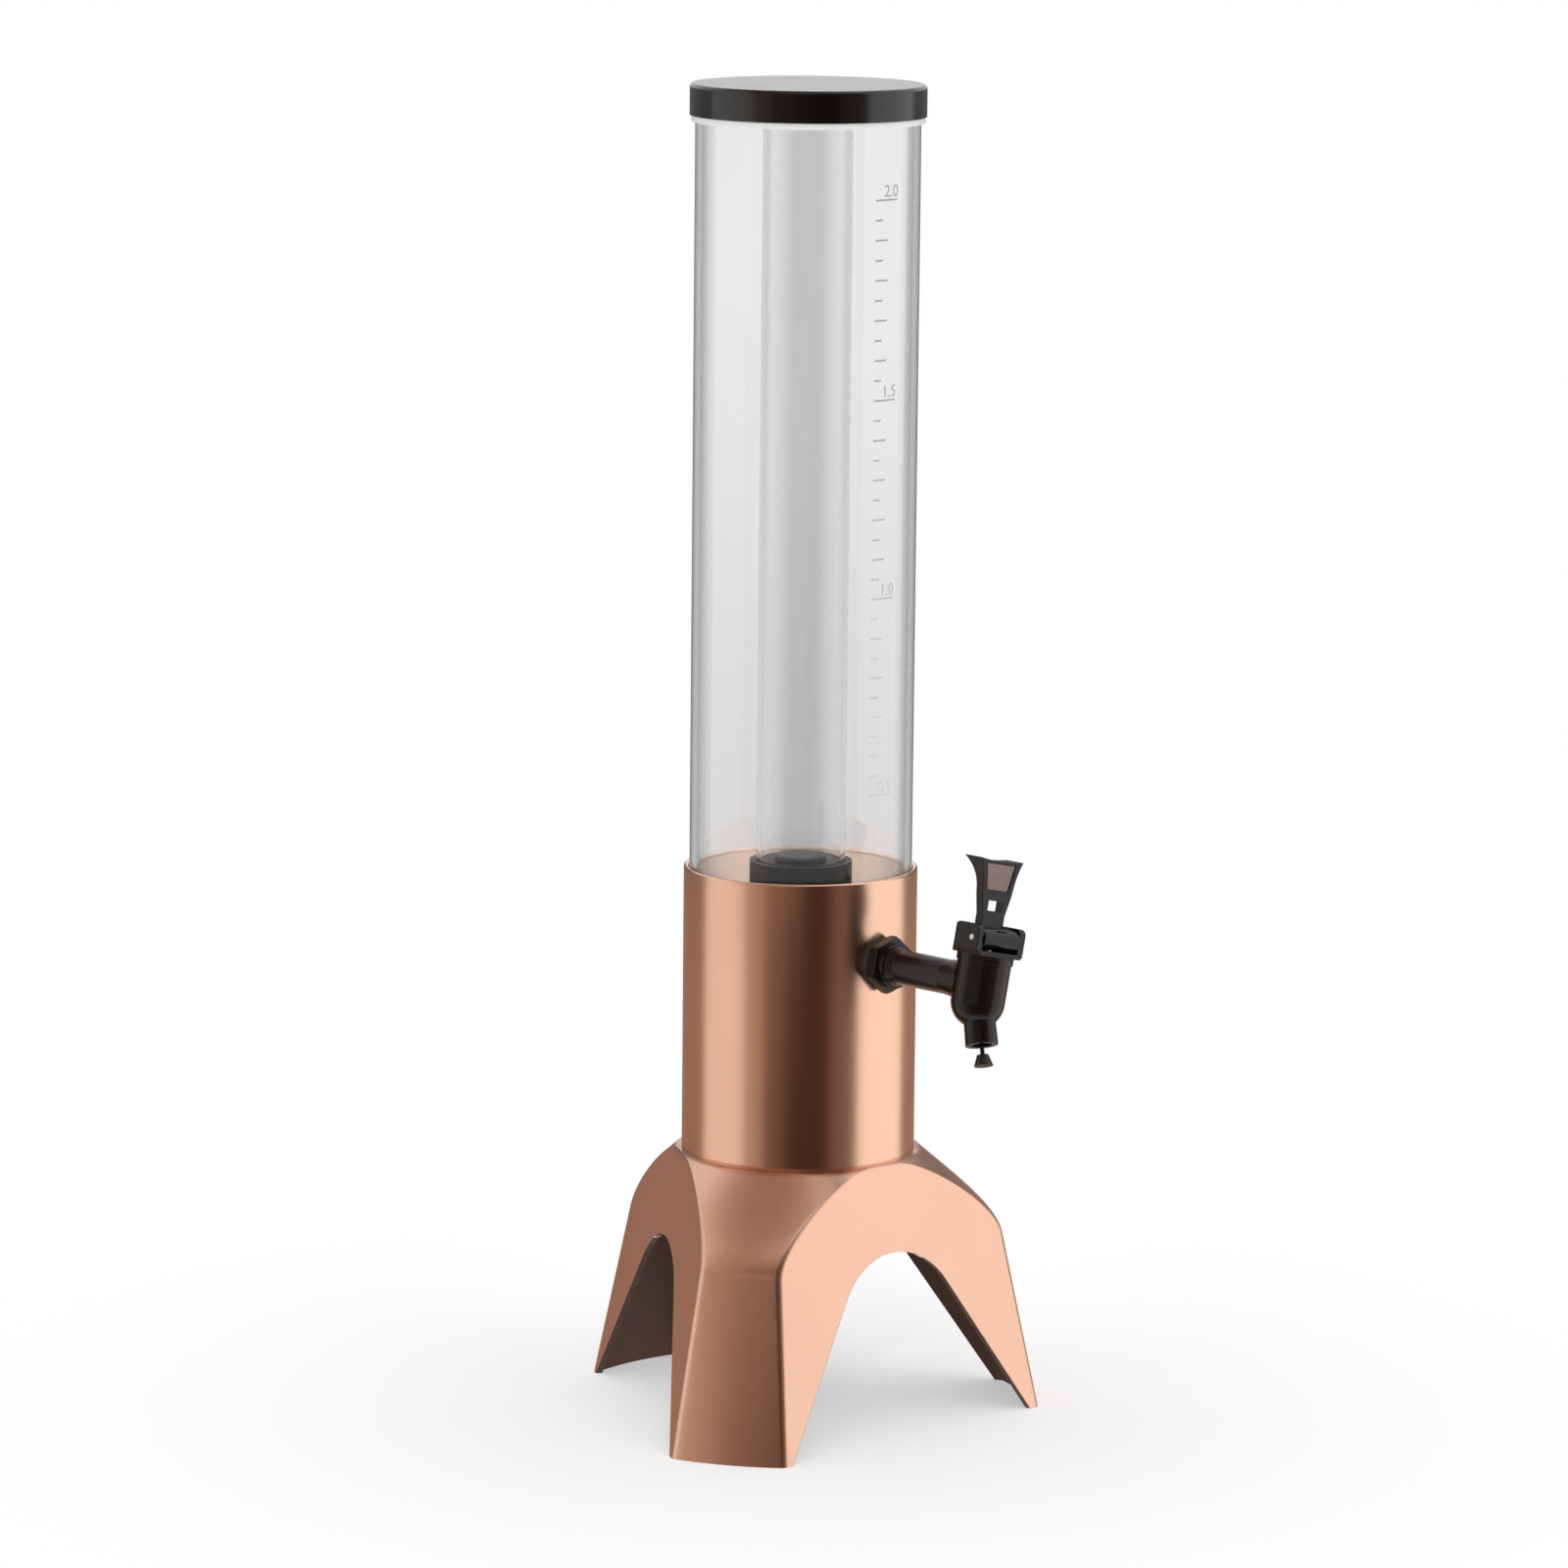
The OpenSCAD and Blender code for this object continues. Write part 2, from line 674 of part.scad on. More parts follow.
module bonnet_head() {
    difference() {
        intersection() {
            rotate([90, 0, 0]) linear_extrude(4 * guard_back, center = true) head_front_outline();
            across_outline(2 * ears_w) head_side_outline();
            linear_extrude(2 * ear_top_z)
                plate_outline(ears_w / 2, deck_front, guard_back, front_corner_r, guard_corner_r);
        }
        translate([0, 0, deck_z]) linear_extrude(ear_top_z)
            plate_outline(channel_half_w, 2 * ears_w, guard_back - guard_t, front_corner_r,
                guard_corner_r - guard_t);
    }
}

module tap_bonnet() {
    color([0.11, 0.09, 0.09]) on_barrel() difference() {
        union() {
            translate([0, 0, barrel_rise - bonnet_plug_l])
                cylinder(d = bonnet_plug_d, h = bonnet_plug_l + bonnet_ring_h);
            translate([0, 0, barrel_rise]) cylinder(d = barrel_d + 2 * rim_bead_t, h = bonnet_ring_h);
            bonnet_head();
        }
        translate([0, 0, -cut]) cylinder(d = stem_bore_d, h = pivot_h);
        translate([0, 0, stem_seal_z - stem_groove_h / 2]) cylinder(r = stem_groove_r, h = stem_groove_h);
        across(-pivot_arm, pivot_h) cylinder(d = pivot_d + 2 * close_fit, h = 2 * ears_w, center = true);
    }
}

module stem_seal() {
    color([0.08, 0.08, 0.08]) on_barrel() translate([0, 0, stem_seal_z])
        rubber_ring(stem_seal_r, stem_seal_d);
}

module lever_pin() {
    color([0.7, 0.71, 0.73]) on_barrel() across(-pivot_arm, pivot_h)
        cylinder(d = pivot_d, h = ears_w, center = true);
}

// Lever
module bar_outline() {
    back = bar_back - pivot_arm - bar_back_r;
    top = boss_r - bar_back_r;
    translate([0, pivot_h]) polygon(concat(
        arc([-pivot_arm, 0], boss_r, 90, 270, 16),
        arc([back, -top], bar_back_r, -90, 0, 6),
        arc([back, top], bar_back_r, 0, 90, 6)));
}

module blade_side_outline() {
    thumb = [for (i = [0:3]) [blade_back + thumb_back_shares[i] * (lever_top_t - lever_t),
        pivot_h + thumb_h_shares[i] * lever_h]];
    polygon(concat([[-blade_front, pivot_h], [blade_back, pivot_h]],
        [for (i = [0:lever_steps]) curve(thumb, i / lever_steps)],
        [[-blade_front, pivot_h + lever_h]]));
}

module blade_front_outline() {
    gain = lever_top_half_w - lever_neck_half_w;
    flare = [for (i = [0:3]) [lever_neck_half_w + flare_w_shares[i] * gain,
        pivot_h + flare_h_shares[i] * lever_h]];
    side = concat([[lever_neck_half_w, pivot_h], [lever_neck_half_w, pivot_h + neck_h_share * lever_h]],
        [for (i = [0:lever_steps]) curve(flare, i / lever_steps)]);
    top = [for (i = [1:lever_steps - 1]) let (s = 1 - 2 * i / lever_steps)
        [s * lever_top_half_w, pivot_h + lever_h - lever_top_sag * (1 - s * s)]];
    last = len(side) - 1;
    polygon(concat(side, top, [for (i = [0:last]) [-side[last - i][0], side[last - i][1]]]));
}

module label_outline() {
    low = [lever_neck_half_w * label_w_shares[0], pivot_h + label_h_shares[0] * lever_h];
    high = [lever_top_half_w * label_w_shares[1], pivot_h + label_h_shares[1] * lever_h];
    polygon([[-low[0], low[1]], low, high, [-high[0], high[1]]]);
}

// Slots for the stem's cross pin, long enough for the pin's way along the tilted lever
module cross_pin_slot() {
    slot_w = cross_pin_l + 2 * fit;
    across(0, pivot_h) cylinder(r = slot_r, h = slot_w, center = true);
    across(slot_l, pivot_h) cylinder(r = slot_r, h = slot_w, center = true);
    translate([-slot_w / 2, 0, pivot_h - slot_r]) cube([slot_w, slot_l, 2 * slot_r]);
}

module tap_lever() {
    color([0.12, 0.1, 0.1]) on_barrel() difference() {
        union() {
            across_outline(2 * boss_half_w) bar_outline();
            intersection() {
                across_outline(2 * lever_top_half_w) blade_side_outline();
                rotate([90, 0, 0]) linear_extrude(4 * lever_top_t, center = true) blade_front_outline();
            }
        }
        translate([-fork_half_w, -pivot_arm - boss_r + fork_web_t, pivot_h - boss_r - cut])
            cube([2 * fork_half_w, boss_r - fork_web_t + bar_back + cut, boss_r + cut + fork_h]);
        across(-pivot_arm, pivot_h) cylinder(d = pivot_d + 2 * close_fit, h = ears_w, center = true);
        cross_pin_slot();
        translate([-window_w / 2, -lever_top_t, pivot_h + window_h_share * lever_h - window_h / 2])
            cube([window_w, 2 * lever_top_t, window_h]);
        translate([0, -blade_front + label_d, 0]) rotate([90, 0, 0]) linear_extrude(cut) label_outline();
    }
}

// Valve
module valve_stem() {
    color([0.75, 0.76, 0.78]) on_barrel() difference() {
        union() {
            translate([0, 0, -stem_low]) cylinder(d = stem_d, h = stem_low + stem_top);
            translate([0, 0, -plug_low + valve_plug_t]) cylinder(d = stem_collar_d, h = stem_collar_t);
        }
        across(0, pivot_h) cylinder(d = cross_pin_d + 2 * close_fit, h = 2 * stem_d, center = true);
    }
}

module stem_pin() {
    color([0.7, 0.71, 0.73]) on_barrel() across(0, pivot_h)
        cylinder(d = cross_pin_d, h = cross_pin_l, center = true);
}

module valve_plug() {
    tip_r = spout_bore / 2 - cut;
    color([0.5, 0.16, 0.12]) on_barrel() translate([0, 0, -plug_low]) difference() {
        rotate_extrude() polygon([[0, -plug_tip_l], [tip_r / 2, -plug_tip_l], [tip_r, -close_fit],
            [plug_d / 2, 0], [plug_d / 2, valve_plug_t - close_fit], [0, valve_plug_t - close_fit]]);
        translate([0, 0, plug_low - stem_low - close_fit])
            cylinder(d = stem_bore_d, h = valve_plug_t);
    }
}

// One unbroken wire, as rings of points along a helix
function spring_point(t) =
    let (r = (spring_d - wire_d) / 2, a = 360 * spring_turns * t,
        z0 = spring_low + wire_d / 2, z1 = spring_top - wire_d / 2)
    [r * cos(a), r * sin(a), z0 + (z1 - z0) * t];
function spring_section(t) =
    let (a = 360 * spring_turns * t, c = spring_point(t), out = [cos(a), sin(a), 0], up = [0, 0, 1])
    [for (k = [0:spring_sides - 1]) let (b = 360 * k / spring_sides)
        c + wire_d / 2 * (cos(b) * out + sin(b) * up)];

spring_count = spring_rings * spring_turns;
spring_gap = (spring_top - spring_low - wire_d) / spring_turns - wire_d;
echo(least_gap_of_the_spring = spring_gap);

module valve_spring() {
    n = spring_sides;
    last = spring_count * n;
    points = [for (i = [0:spring_count]) each spring_section(i / spring_count)];
    walls = [for (i = [0:spring_count - 1], k = [0:n - 1]) let (k2 = (k + 1) % n)
        each [[i * n + k, i * n + k2, (i + 1) * n + k2], [i * n + k, (i + 1) * n + k2, (i + 1) * n + k]]];
    ends = [for (k = [1:n - 2]) each [[0, k + 1, k], [last, last + k, last + k + 1]]];
    color([0.78, 0.79, 0.8]) on_barrel() polyhedron(points = points, faces = concat(walls, ends));
}

// Small guide that holds the last drops together below the spout
module drip_guide() {
    color([0.09, 0.08, 0.08]) on_barrel() {
        along_spout(spider_end - spider_l) {
            cylinder(d = guide_pin_d, h = guide_reach - guide_cone_h / 2 - spider_end + spider_l);
            intersection() {
                cylinder(d = spout_bore - 2 * close_fit, h = spider_l);
                translate([-spout_bore, -spider_t / 2, 0]) cube([2 * spout_bore, spider_t, spider_l]);
            }
        }
        along_spout(guide_reach - guide_cone_h)
            cylinder(d1 = cone_neck_d, d2 = guide_cone_d, h = guide_cone_h);
    }
}

// Ice insert
module ice_tube() {
    color([0.9, 0.93, 0.95, 0.35]) on_tower() translate([0, 0, ice_low_z])
        ring(ice_r, ice_ir, tube_top_z - ice_low_z);
}

module ice_foot() {
    color([0.1, 0.1, 0.11]) on_tower() {
        difference() {
            union() {
                translate([0, 0, cup_under_z]) ring(cup_r, ice_r + fit, cup_h);
                translate([0, 0, cup_under_z]) cylinder(r = cup_r, h = cup_floor_t);
                translate([0, 0, cup_under_z]) cylinder(r = spigot_r, h = cup_h);
                translate([0, 0, cup_under_z]) cylinder(d = boss_d, h = cup_h + boss_rise);
            }
            translate([0, 0, ice_seal_z - ice_groove_h / 2]) ring(ice_r, ice_groove_r, ice_groove_h);
        }
        translate([0, 0, pad_z]) cylinder(d = pillar_d, h = cup_under_z - pad_z);
        translate([0, 0, pad_z]) cylinder(d = pad_d, h = pad_t);
        for (a = fin_angles) rotate([0, 0, a]) translate([0, -fin_t / 2, pad_z])
            cube([pad_d / 2, fin_t, cup_under_z - pad_z]);
    }
}

module ice_seal() {
    color([0.08, 0.08, 0.08]) on_tower() translate([0, 0, ice_seal_z])
        rubber_ring(ice_seal_r, ice_seal_d);
}

// Lid
module lid() {
    guide_r = tube_ir - fit;
    socket_ir = ice_r + fit;
    guide_z = lid_under_z - guide_l;
    socket_z = lid_under_z - guide_l / 2;
    color([0.08, 0.08, 0.09]) on_tower() rotate_extrude() polygon(concat(
        [[0, total_h]],
        arc([lid_r - lid_edge_r, total_h - lid_edge_r], lid_edge_r, 90, 0, 8),
        [[lid_r, total_h - lid_h], [lid_ir, total_h - lid_h], [lid_ir, lid_under_z],
        [guide_r, lid_under_z], [guide_r, guide_z], [guide_r - guide_t, guide_z],
        [guide_r - guide_t, lid_under_z], [socket_ir + guide_t, lid_under_z],
        [socket_ir + guide_t, socket_z], [socket_ir, socket_z], [socket_ir, lid_under_z],
        [0, lid_under_z]]));
}

module lid_gasket() {
    low = total_h - lid_h - gasket_bead_h;
    inner = tube_r + fit;
    outer = inner + gasket_t;
    bead = lid_r - skirt_t / 2;
    color([0.93, 0.94, 0.93]) on_tower() rotate_extrude() polygon([[inner, low], [bead, low],
        [bead, total_h - lid_h], [outer, total_h - lid_h], [outer, lid_under_z], [inner, lid_under_z]]);
}

tripod_base();
base_screws();
base_washers();
seat_ring();
sleeve();
beer_tube();
tube_plug();
plug_seals();
tap_body();
flange_nut();
outer_washer();
inner_washer();
shank_nut();
tap_bonnet();
lever_pin();
stem_seal();
drip_guide();
ice_tube();
ice_foot();
ice_seal();
lid();
lid_gasket();
tap_lever();
valve_stem();
stem_pin();
valve_plug();
valve_spring();
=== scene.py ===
import json
import math

import bmesh
import bpy
from mathutils import Matrix, Vector


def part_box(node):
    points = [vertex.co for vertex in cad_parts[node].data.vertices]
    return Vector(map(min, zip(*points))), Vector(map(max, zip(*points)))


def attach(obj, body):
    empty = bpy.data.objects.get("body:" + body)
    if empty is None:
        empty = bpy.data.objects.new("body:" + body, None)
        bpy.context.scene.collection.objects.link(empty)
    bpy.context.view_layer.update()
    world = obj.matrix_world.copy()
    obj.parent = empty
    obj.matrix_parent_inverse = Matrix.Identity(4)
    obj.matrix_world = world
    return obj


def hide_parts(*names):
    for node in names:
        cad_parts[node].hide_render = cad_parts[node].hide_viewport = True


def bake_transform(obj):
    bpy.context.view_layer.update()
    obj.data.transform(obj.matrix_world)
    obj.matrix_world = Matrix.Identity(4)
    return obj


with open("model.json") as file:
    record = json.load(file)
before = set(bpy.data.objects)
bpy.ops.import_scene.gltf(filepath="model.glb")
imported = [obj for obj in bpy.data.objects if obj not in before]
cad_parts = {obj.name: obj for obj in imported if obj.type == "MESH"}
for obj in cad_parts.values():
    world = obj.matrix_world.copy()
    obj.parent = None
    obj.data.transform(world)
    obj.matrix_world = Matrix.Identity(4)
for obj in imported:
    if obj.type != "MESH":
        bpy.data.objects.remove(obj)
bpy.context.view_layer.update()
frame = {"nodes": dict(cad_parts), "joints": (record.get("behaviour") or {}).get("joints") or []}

print("beer tower: frame loaded")

mm = 0.001
litreVolume = 0.001

# The tower stands on one upright axis
lidLow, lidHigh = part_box("lid")
tubeLow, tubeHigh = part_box("beer_tube")
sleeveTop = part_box("sleeve")[1].z
towerX = (lidLow.x + lidHigh.x) / 2
towerY = (lidLow.y + lidHigh.y) / 2
tubeRadius = (tubeHigh.x - tubeLow.x) / 2

# The tap's own axes: X along the lever's hinge, Z along the valve stem
joints = {joint["name"]: joint for joint in frame["joints"]}
tapX = Vector(joints["lever_tilt"]["axis"]).normalized()
tapZ = Vector(joints["stem_lift"]["axis"]).normalized()
tapY = tapZ.cross(tapX)
hinge = Vector(joints["lever_tilt"]["pos_m"])
tapFrame = Matrix.Translation(hinge) @ Matrix((tapX, tapY, tapZ)).transposed().to_4x4()

# Small helpers for objects, meshes and node trees
def addObject(name, data):
    thing = bpy.data.objects.new(name, data)
    bpy.context.scene.collection.objects.link(thing)
    return thing


def meshObject(name, bm, smoothAngle=35):
    mesh = bpy.data.meshes.new(name)
    bm.normal_update()
    bm.to_mesh(mesh)
    bm.free()
    for face in mesh.polygons:
        face.use_smooth = True
    mesh.set_sharp_from_angle(angle=math.radians(smoothAngle))
    return addObject(name, mesh)


def newTree(name):
    material = bpy.data.materials.new(name)
    material.use_nodes = True
    material.node_tree.nodes.clear()
    return material, material.node_tree.nodes, material.node_tree.links


def newGroup(name, inputs, outputs):
    group = bpy.data.node_groups.new(name, "ShaderNodeTree")
    for label, kind, default in inputs:
        socket = group.interface.new_socket(name=label, in_out="INPUT", socket_type=kind)
        socket.default_value = default
    for label, kind in outputs:
        group.interface.new_socket(name=label, in_out="OUTPUT", socket_type=kind)
    return group, group.nodes.new("NodeGroupInput"), group.nodes.new("NodeGroupOutput")


def addNode(nodes, kind, values=None, **options):
    # The options come first, because they decide which sockets a node has
    node = nodes.new(kind)
    for option, value in options.items():
        setattr(node, option, value)
    for socket, value in (values or {}).items():
        node.inputs[socket].default_value = value
    return node


def connect(links, *pairs):
    for source, output, target, socket in pairs:
        links.new(source.outputs[output], target.inputs[socket])


def setStops(stops, shades):
    # A colour ramp starts with two stops
    for index, (place, color) in enumerate(shades):
        stop = stops[index] if index < 2 else stops.new(place)
        stop.position = place
        stop.color = (*color, 1)


# Camera
cameraSettings = {
    "azimuth": -44.13,
    "elevation": 9.565,
    "roll": 0.575,
    "distance": 3.1532,
    "targetHeight": 0.28655,
    "targetRight": -0.00782,
    "lens": 161.458,
    "sensorWidth": 36,
    "clipEnd": 50,
}


def viewAxes(elevation):
    # The camera's right, and the way back to the camera's side at the given elevation
    turn = math.radians(cameraSettings["azimuth"])
    rise = math.radians(elevation)
    right = Vector((math.cos(turn), math.sin(turn), 0))
    back = Vector((math.sin(turn) * math.cos(rise), -math.cos(turn) * math.cos(rise), math.sin(rise)))
    return right, back


def makeCamera(settings):
    right, back = viewAxes(settings["elevation"])
    up = back.cross(right)
    roll = math.radians(settings["roll"])
    target = Vector((towerX, towerY, settings["targetHeight"])) + right * settings["targetRight"]
    rolledRight = right * math.cos(roll) + up * math.sin(roll)
    rolledUp = up * math.cos(roll) - right * math.sin(roll)
    data = bpy.data.cameras.new("camera")
    data.lens = settings["lens"]
    data.sensor_width = settings["sensorWidth"]
    data.clip_end = settings["clipEnd"]
    camera = addObject("camera", data)
    place = Matrix((rolledRight, rolledUp, back)).transposed().to_4x4()
    camera.matrix_world = Matrix.Translation(target + back * settings["distance"]) @ place
    bpy.context.scene.camera = camera


makeCamera(cameraSettings)
bpy.context.scene.view_settings.view_transform = "Standard"
print("beer tower: camera placed")


# Light and backdrop
studioSettings = {
    "backdrop": (1.0, 1.0, 1.0, 1),
    "softLight": 0.95,
    "keyLight": 0.7,
    "keySpread": 50,
    "keyTilt": (28, -18, 0),
    "floorColor": (0.97, 0.97, 0.97, 1),
    "floorRadius": 5.0,
    "floorSides": 64,
    "shadowStart": 0.12,
    "shadowEnd": 0.42,
    "floorShadow": 0.55,
}


def makeWorld(settings):
    # The camera, glosses and clear tubes see the backdrop, and the rest takes the soft light
    world = bpy.data.worlds.new("studio")
    world.use_nodes = True
    nodes, links = world.node_tree.nodes, world.node_tree.links
    nodes.clear()
    path = nodes.new("ShaderNodeLightPath")
    cameraOrGlossy = addNode(nodes, "ShaderNodeMath", operation="MAXIMUM")
    seen = addNode(nodes, "ShaderNodeMath", operation="MAXIMUM")
    backdrop = addNode(nodes, "ShaderNodeBackground", {"Color": settings["backdrop"]})
    soft = addNode(nodes, "ShaderNodeBackground", {"Strength": settings["softLight"]})
    mix = nodes.new("ShaderNodeMixShader")
    out = nodes.new("ShaderNodeOutputWorld")
    connect(links,
        (path, "Is Camera Ray", cameraOrGlossy, 0), (path, "Is Glossy Ray", cameraOrGlossy, 1),
        (cameraOrGlossy, 0, seen, 0), (path, "Is Transmission Ray", seen, 1),
        (seen, 0, mix, 0), (soft, 0, mix, 1), (backdrop, 0, mix, 2), (mix, 0, out, 0))
    bpy.context.scene.world = world


def makeKeyLight(settings):
    data = bpy.data.lights.new("key", "SUN")
    data.energy = settings["keyLight"]
    data.angle = math.radians(settings["keySpread"])
    key = addObject("key", data)
    key.rotation_euler = [math.radians(angle) for angle in settings["keyTilt"]]
    key.visible_glossy = False


# Narrow lamp from the camera's side that reaches the inside of the sleeve's mouth through the clear tube
mouthLamp = {"distance": 1.2, "elevation": 24, "power": 85, "beam": 13, "blend": 0.6, "size": 0.12}


def makeMouthLamp(lamp):
    away = viewAxes(lamp["elevation"])[1]
    data = bpy.data.lights.new("mouth_lamp", "SPOT")
    data.energy = lamp["power"]
    data.spot_size = math.radians(lamp["beam"])
    data.spot_blend = lamp["blend"]
    data.shadow_soft_size = lamp["size"]
    spot = addObject("mouth_lamp", data)
    spot.location = Vector((towerX, towerY, sleeveTop)) + away * lamp["distance"]
    spot.rotation_euler = away.to_track_quat("Z", "Y").to_euler()
    spot.visible_glossy = False
    spot.visible_transmission = False


def makeFloor(settings):
    # Matt near the tower, where it takes the shadow, and as white as the backdrop further out
    material, nodes, links = newTree("pale_floor")
    place = nodes.new("ShaderNodeTexCoord")
    away = addNode(nodes, "ShaderNodeVectorMath", {1: (towerX, towerY, 0)}, operation="DISTANCE")
    fade = addNode(nodes, "ShaderNodeMapRange", {"From Min": settings["shadowStart"],
        "From Max": settings["shadowEnd"], "To Min": 1 - settings["floorShadow"]}, interpolation_type="SMOOTHSTEP")
    path = nodes.new("ShaderNodeLightPath")
    seen = addNode(nodes, "ShaderNodeMath", operation="MAXIMUM")
    share = addNode(nodes, "ShaderNodeMath", operation="MULTIPLY")
    glow = addNode(nodes, "ShaderNodeEmission", {"Color": settings["backdrop"]})
    matt = addNode(nodes, "ShaderNodeBsdfDiffuse", {"Color": settings["floorColor"]})
    mix = nodes.new("ShaderNodeMixShader")
    out = nodes.new("ShaderNodeOutputMaterial")
    connect(links,
        (path, "Is Camera Ray", seen, 0), (path, "Is Transmission Ray", seen, 1),
        (place, "Object", away, 0), (away, "Value", fade, "Value"),
        (seen, 0, share, 0), (fade, "Result", share, 1), (share, 0, mix, 0),
        (matt, 0, mix, 1), (glow, 0, mix, 2), (mix, 0, out, 0))
    bm = bmesh.new()
    bmesh.ops.create_circle(bm, cap_ends=True, segments=settings["floorSides"], radius=settings["floorRadius"])
    floor = meshObject("floor", bm)
    floor.data.materials.append(material)
    floor.visible_glossy = False


# Curved cards round the tower. Angles run to the right, from the camera's side. They are seen in reflections only,
# and the glass cards only through the clear tubes, where they darken the walls
cards = {
    "front_flag": {"from": -14, "to": 30, "low": -0.6, "high": 1.3, "light": (0.055, 0.030, 0.022)},
    "front_right_flag": {"from": 30, "to": 58, "low": -0.6, "high": 1.3, "light": (0.20, 0.13, 0.10)},
    "front_left_flag": {"from": -34, "to": -14, "low": -0.6, "high": 1.3, "light": (0.16, 0.10, 0.08)},
    "left_flag": {"from": -54, "to": -34, "low": -0.6, "high": 1.3, "light": (0.46, 0.36, 0.29)},
    "left_softbox": {"from": -104, "to": -54, "low": -0.6, "high": 1.3, "light": (0.94, 0.88, 0.83)},
    "right_softbox": {"from": 58, "to": 118, "low": -0.6, "high": 1.3, "light": (1.2, 1.18, 1.14)},
    "leg_card": {"from": -62, "to": 2, "low": 0.155, "high": 0.43, "light": (0.42, 0.31, 0.25), "radius": 0.74},
    "leg_canopy": {"from": -62, "to": 2, "low": 0.62, "high": 1.38, "light": (0.38, 0.27, 0.21), "radius": 0.74},
    "rear_left_low": {"from": -172, "to": -104, "low": -0.6, "high": 0.12, "light": (0.34, 0.22, 0.17)},
    "rear_left_high": {"from": -172, "to": -104, "low": 0.12, "high": 0.58, "light": (0.18, 0.18, 0.18)},
    "rear_right_low": {"from": 118, "to": 172, "low": -0.6, "high": 0.12, "light": (0.34, 0.24, 0.19)},
    "rear_right_high": {"from": 118, "to": 172, "low": 0.12, "high": 0.58, "light": (0.18, 0.18, 0.18)},
    "glass_left": {"from": -150, "to": -60, "low": -0.6, "high": 1.3, "light": (0.85, 0.85, 0.85), "glass": True},
    "glass_right": {"from": 60, "to": 150, "low": -0.6, "high": 1.3, "light": (0.85, 0.85, 0.85), "glass": True},
    "glass_rear": {"from": 165, "to": 195, "low": -0.2, "high": 0.45, "light": (1.0, 1.0, 1.0), "glass": True,
        "shades": [(0.31, (1.0, 1.0, 1.0)), (0.48, (0.83, 0.81, 0.80)), (1.0, (1.0, 1.0, 1.0))]},
}
cardSettings = {"radius": 0.75, "steps": 24}
# Flat card overhead, which the sloping tops of the legs reflect
overheadCard = {"radius": 0.6, "sides": 48, "height": 1.4, "right": -0.35, "light": (0.33, 0.22, 0.17)}


def makeCard(name, card):
    facing = math.radians(cameraSettings["azimuth"] - 90)
    start = facing + math.radians(card["from"])
    sweep = math.radians(card["to"] - card["from"])
    radius = card.get("radius", cardSettings["radius"])
    place = Vector((towerX + radius * math.cos(start), towerY + radius * math.sin(start), 0))
    bm = bmesh.new()
    low = bm.verts.new(place + Vector((0, 0, card["low"])))
    high = bm.verts.new(place + Vector((0, 0, card["high"])))
    edge = bm.edges.new((low, high))
    bmesh.ops.spin(bm, geom=[low, high, edge], cent=(towerX, towerY, 0), axis=(0, 0, 1), angle=sweep,
        steps=cardSettings["steps"])
    finishCard(meshObject(name, bm), card)


def makeOverheadCard(card):
    right = viewAxes(0)[0]
    place = Vector((towerX, towerY, card["height"])) + right * card["right"]
    bm = bmesh.new()
    bmesh.ops.create_circle(bm, cap_ends=True, segments=card["sides"], radius=card["radius"],
        matrix=Matrix.Translation(place))
    finishCard(meshObject("overhead", bm), card)


def finishCard(flag, card):
    # Shades are stops between the card's lower and upper edge
    material, nodes, links = newTree(flag.name)
    glow = addNode(nodes, "ShaderNodeEmission", {"Color": (*card["light"], 1)})
    if "shades" in card:
        place = nodes.new("ShaderNodeTexCoord")
        parts = nodes.new("ShaderNodeSeparateXYZ")
        rise = addNode(nodes, "ShaderNodeMapRange", {"From Min": card["low"], "From Max": card["high"]})
        ramp = nodes.new("ShaderNodeValToRGB")
        ramp.color_ramp.interpolation = "EASE"
        setStops(ramp.color_ramp.elements, card["shades"])
        connect(links, (place, "Object", parts, 0), (parts, "Z", rise, "Value"), (rise, "Result", ramp, "Fac"),
            (ramp, "Color", glow, "Color"))
    out = nodes.new("ShaderNodeOutputMaterial")
    connect(links, (glow, 0, out, 0))
    flag.data.materials.append(material)
    glass = card.get("glass", False)
    flag.visible_camera = False
    flag.visible_diffuse = False
    flag.visible_transmission = glass
    flag.visible_glossy = not glass
    flag.visible_shadow = False


makeWorld(studioSettings)
makeKeyLight(studioSettings)
makeMouthLamp(mouthLamp)
makeFloor(studioSettings)
for cardName, card in cards.items():
    makeCard(cardName, card)
makeOverheadCard(overheadCard)
print("beer tower: studio lit")


# Shared effects
def buildDrift():
    # Slow change of a colour over the surface
    group, start, end = newGroup(
        "colour_drift",
        [("Color", "NodeSocketColor", (0.5, 0.5, 0.5, 1)), ("Scale", "NodeSocketFloat", 12),
         ("Amount", "NodeSocketFloat", 0.1)],
        [("Color", "NodeSocketColor")])
    nodes = group.nodes
    place = nodes.new("ShaderNodeTexCoord")
    noise = addNode(nodes, "ShaderNodeTexNoise", {"Detail": 4})
    spread = addNode(nodes, "ShaderNodeMapRange", {"From Min": 0.3, "From Max": 0.7})
    amount = addNode(nodes, "ShaderNodeMath", operation="MULTIPLY")
    darker = addNode(nodes, "ShaderNodeMix", {"B": (0, 0, 0, 1)}, data_type="RGBA", blend_type="MULTIPLY")
    connect(group.links,
        (place, "Object", noise, "Vector"), (start, "Scale", noise, "Scale"), (noise, "Fac", spread, "Value"),
        (spread, "Result", amount, 0), (start, "Amount", amount, 1), (amount, 0, darker, "Factor"),
        (start, "Color", darker, "A"), (darker, "Result", end, "Color"))
    return group


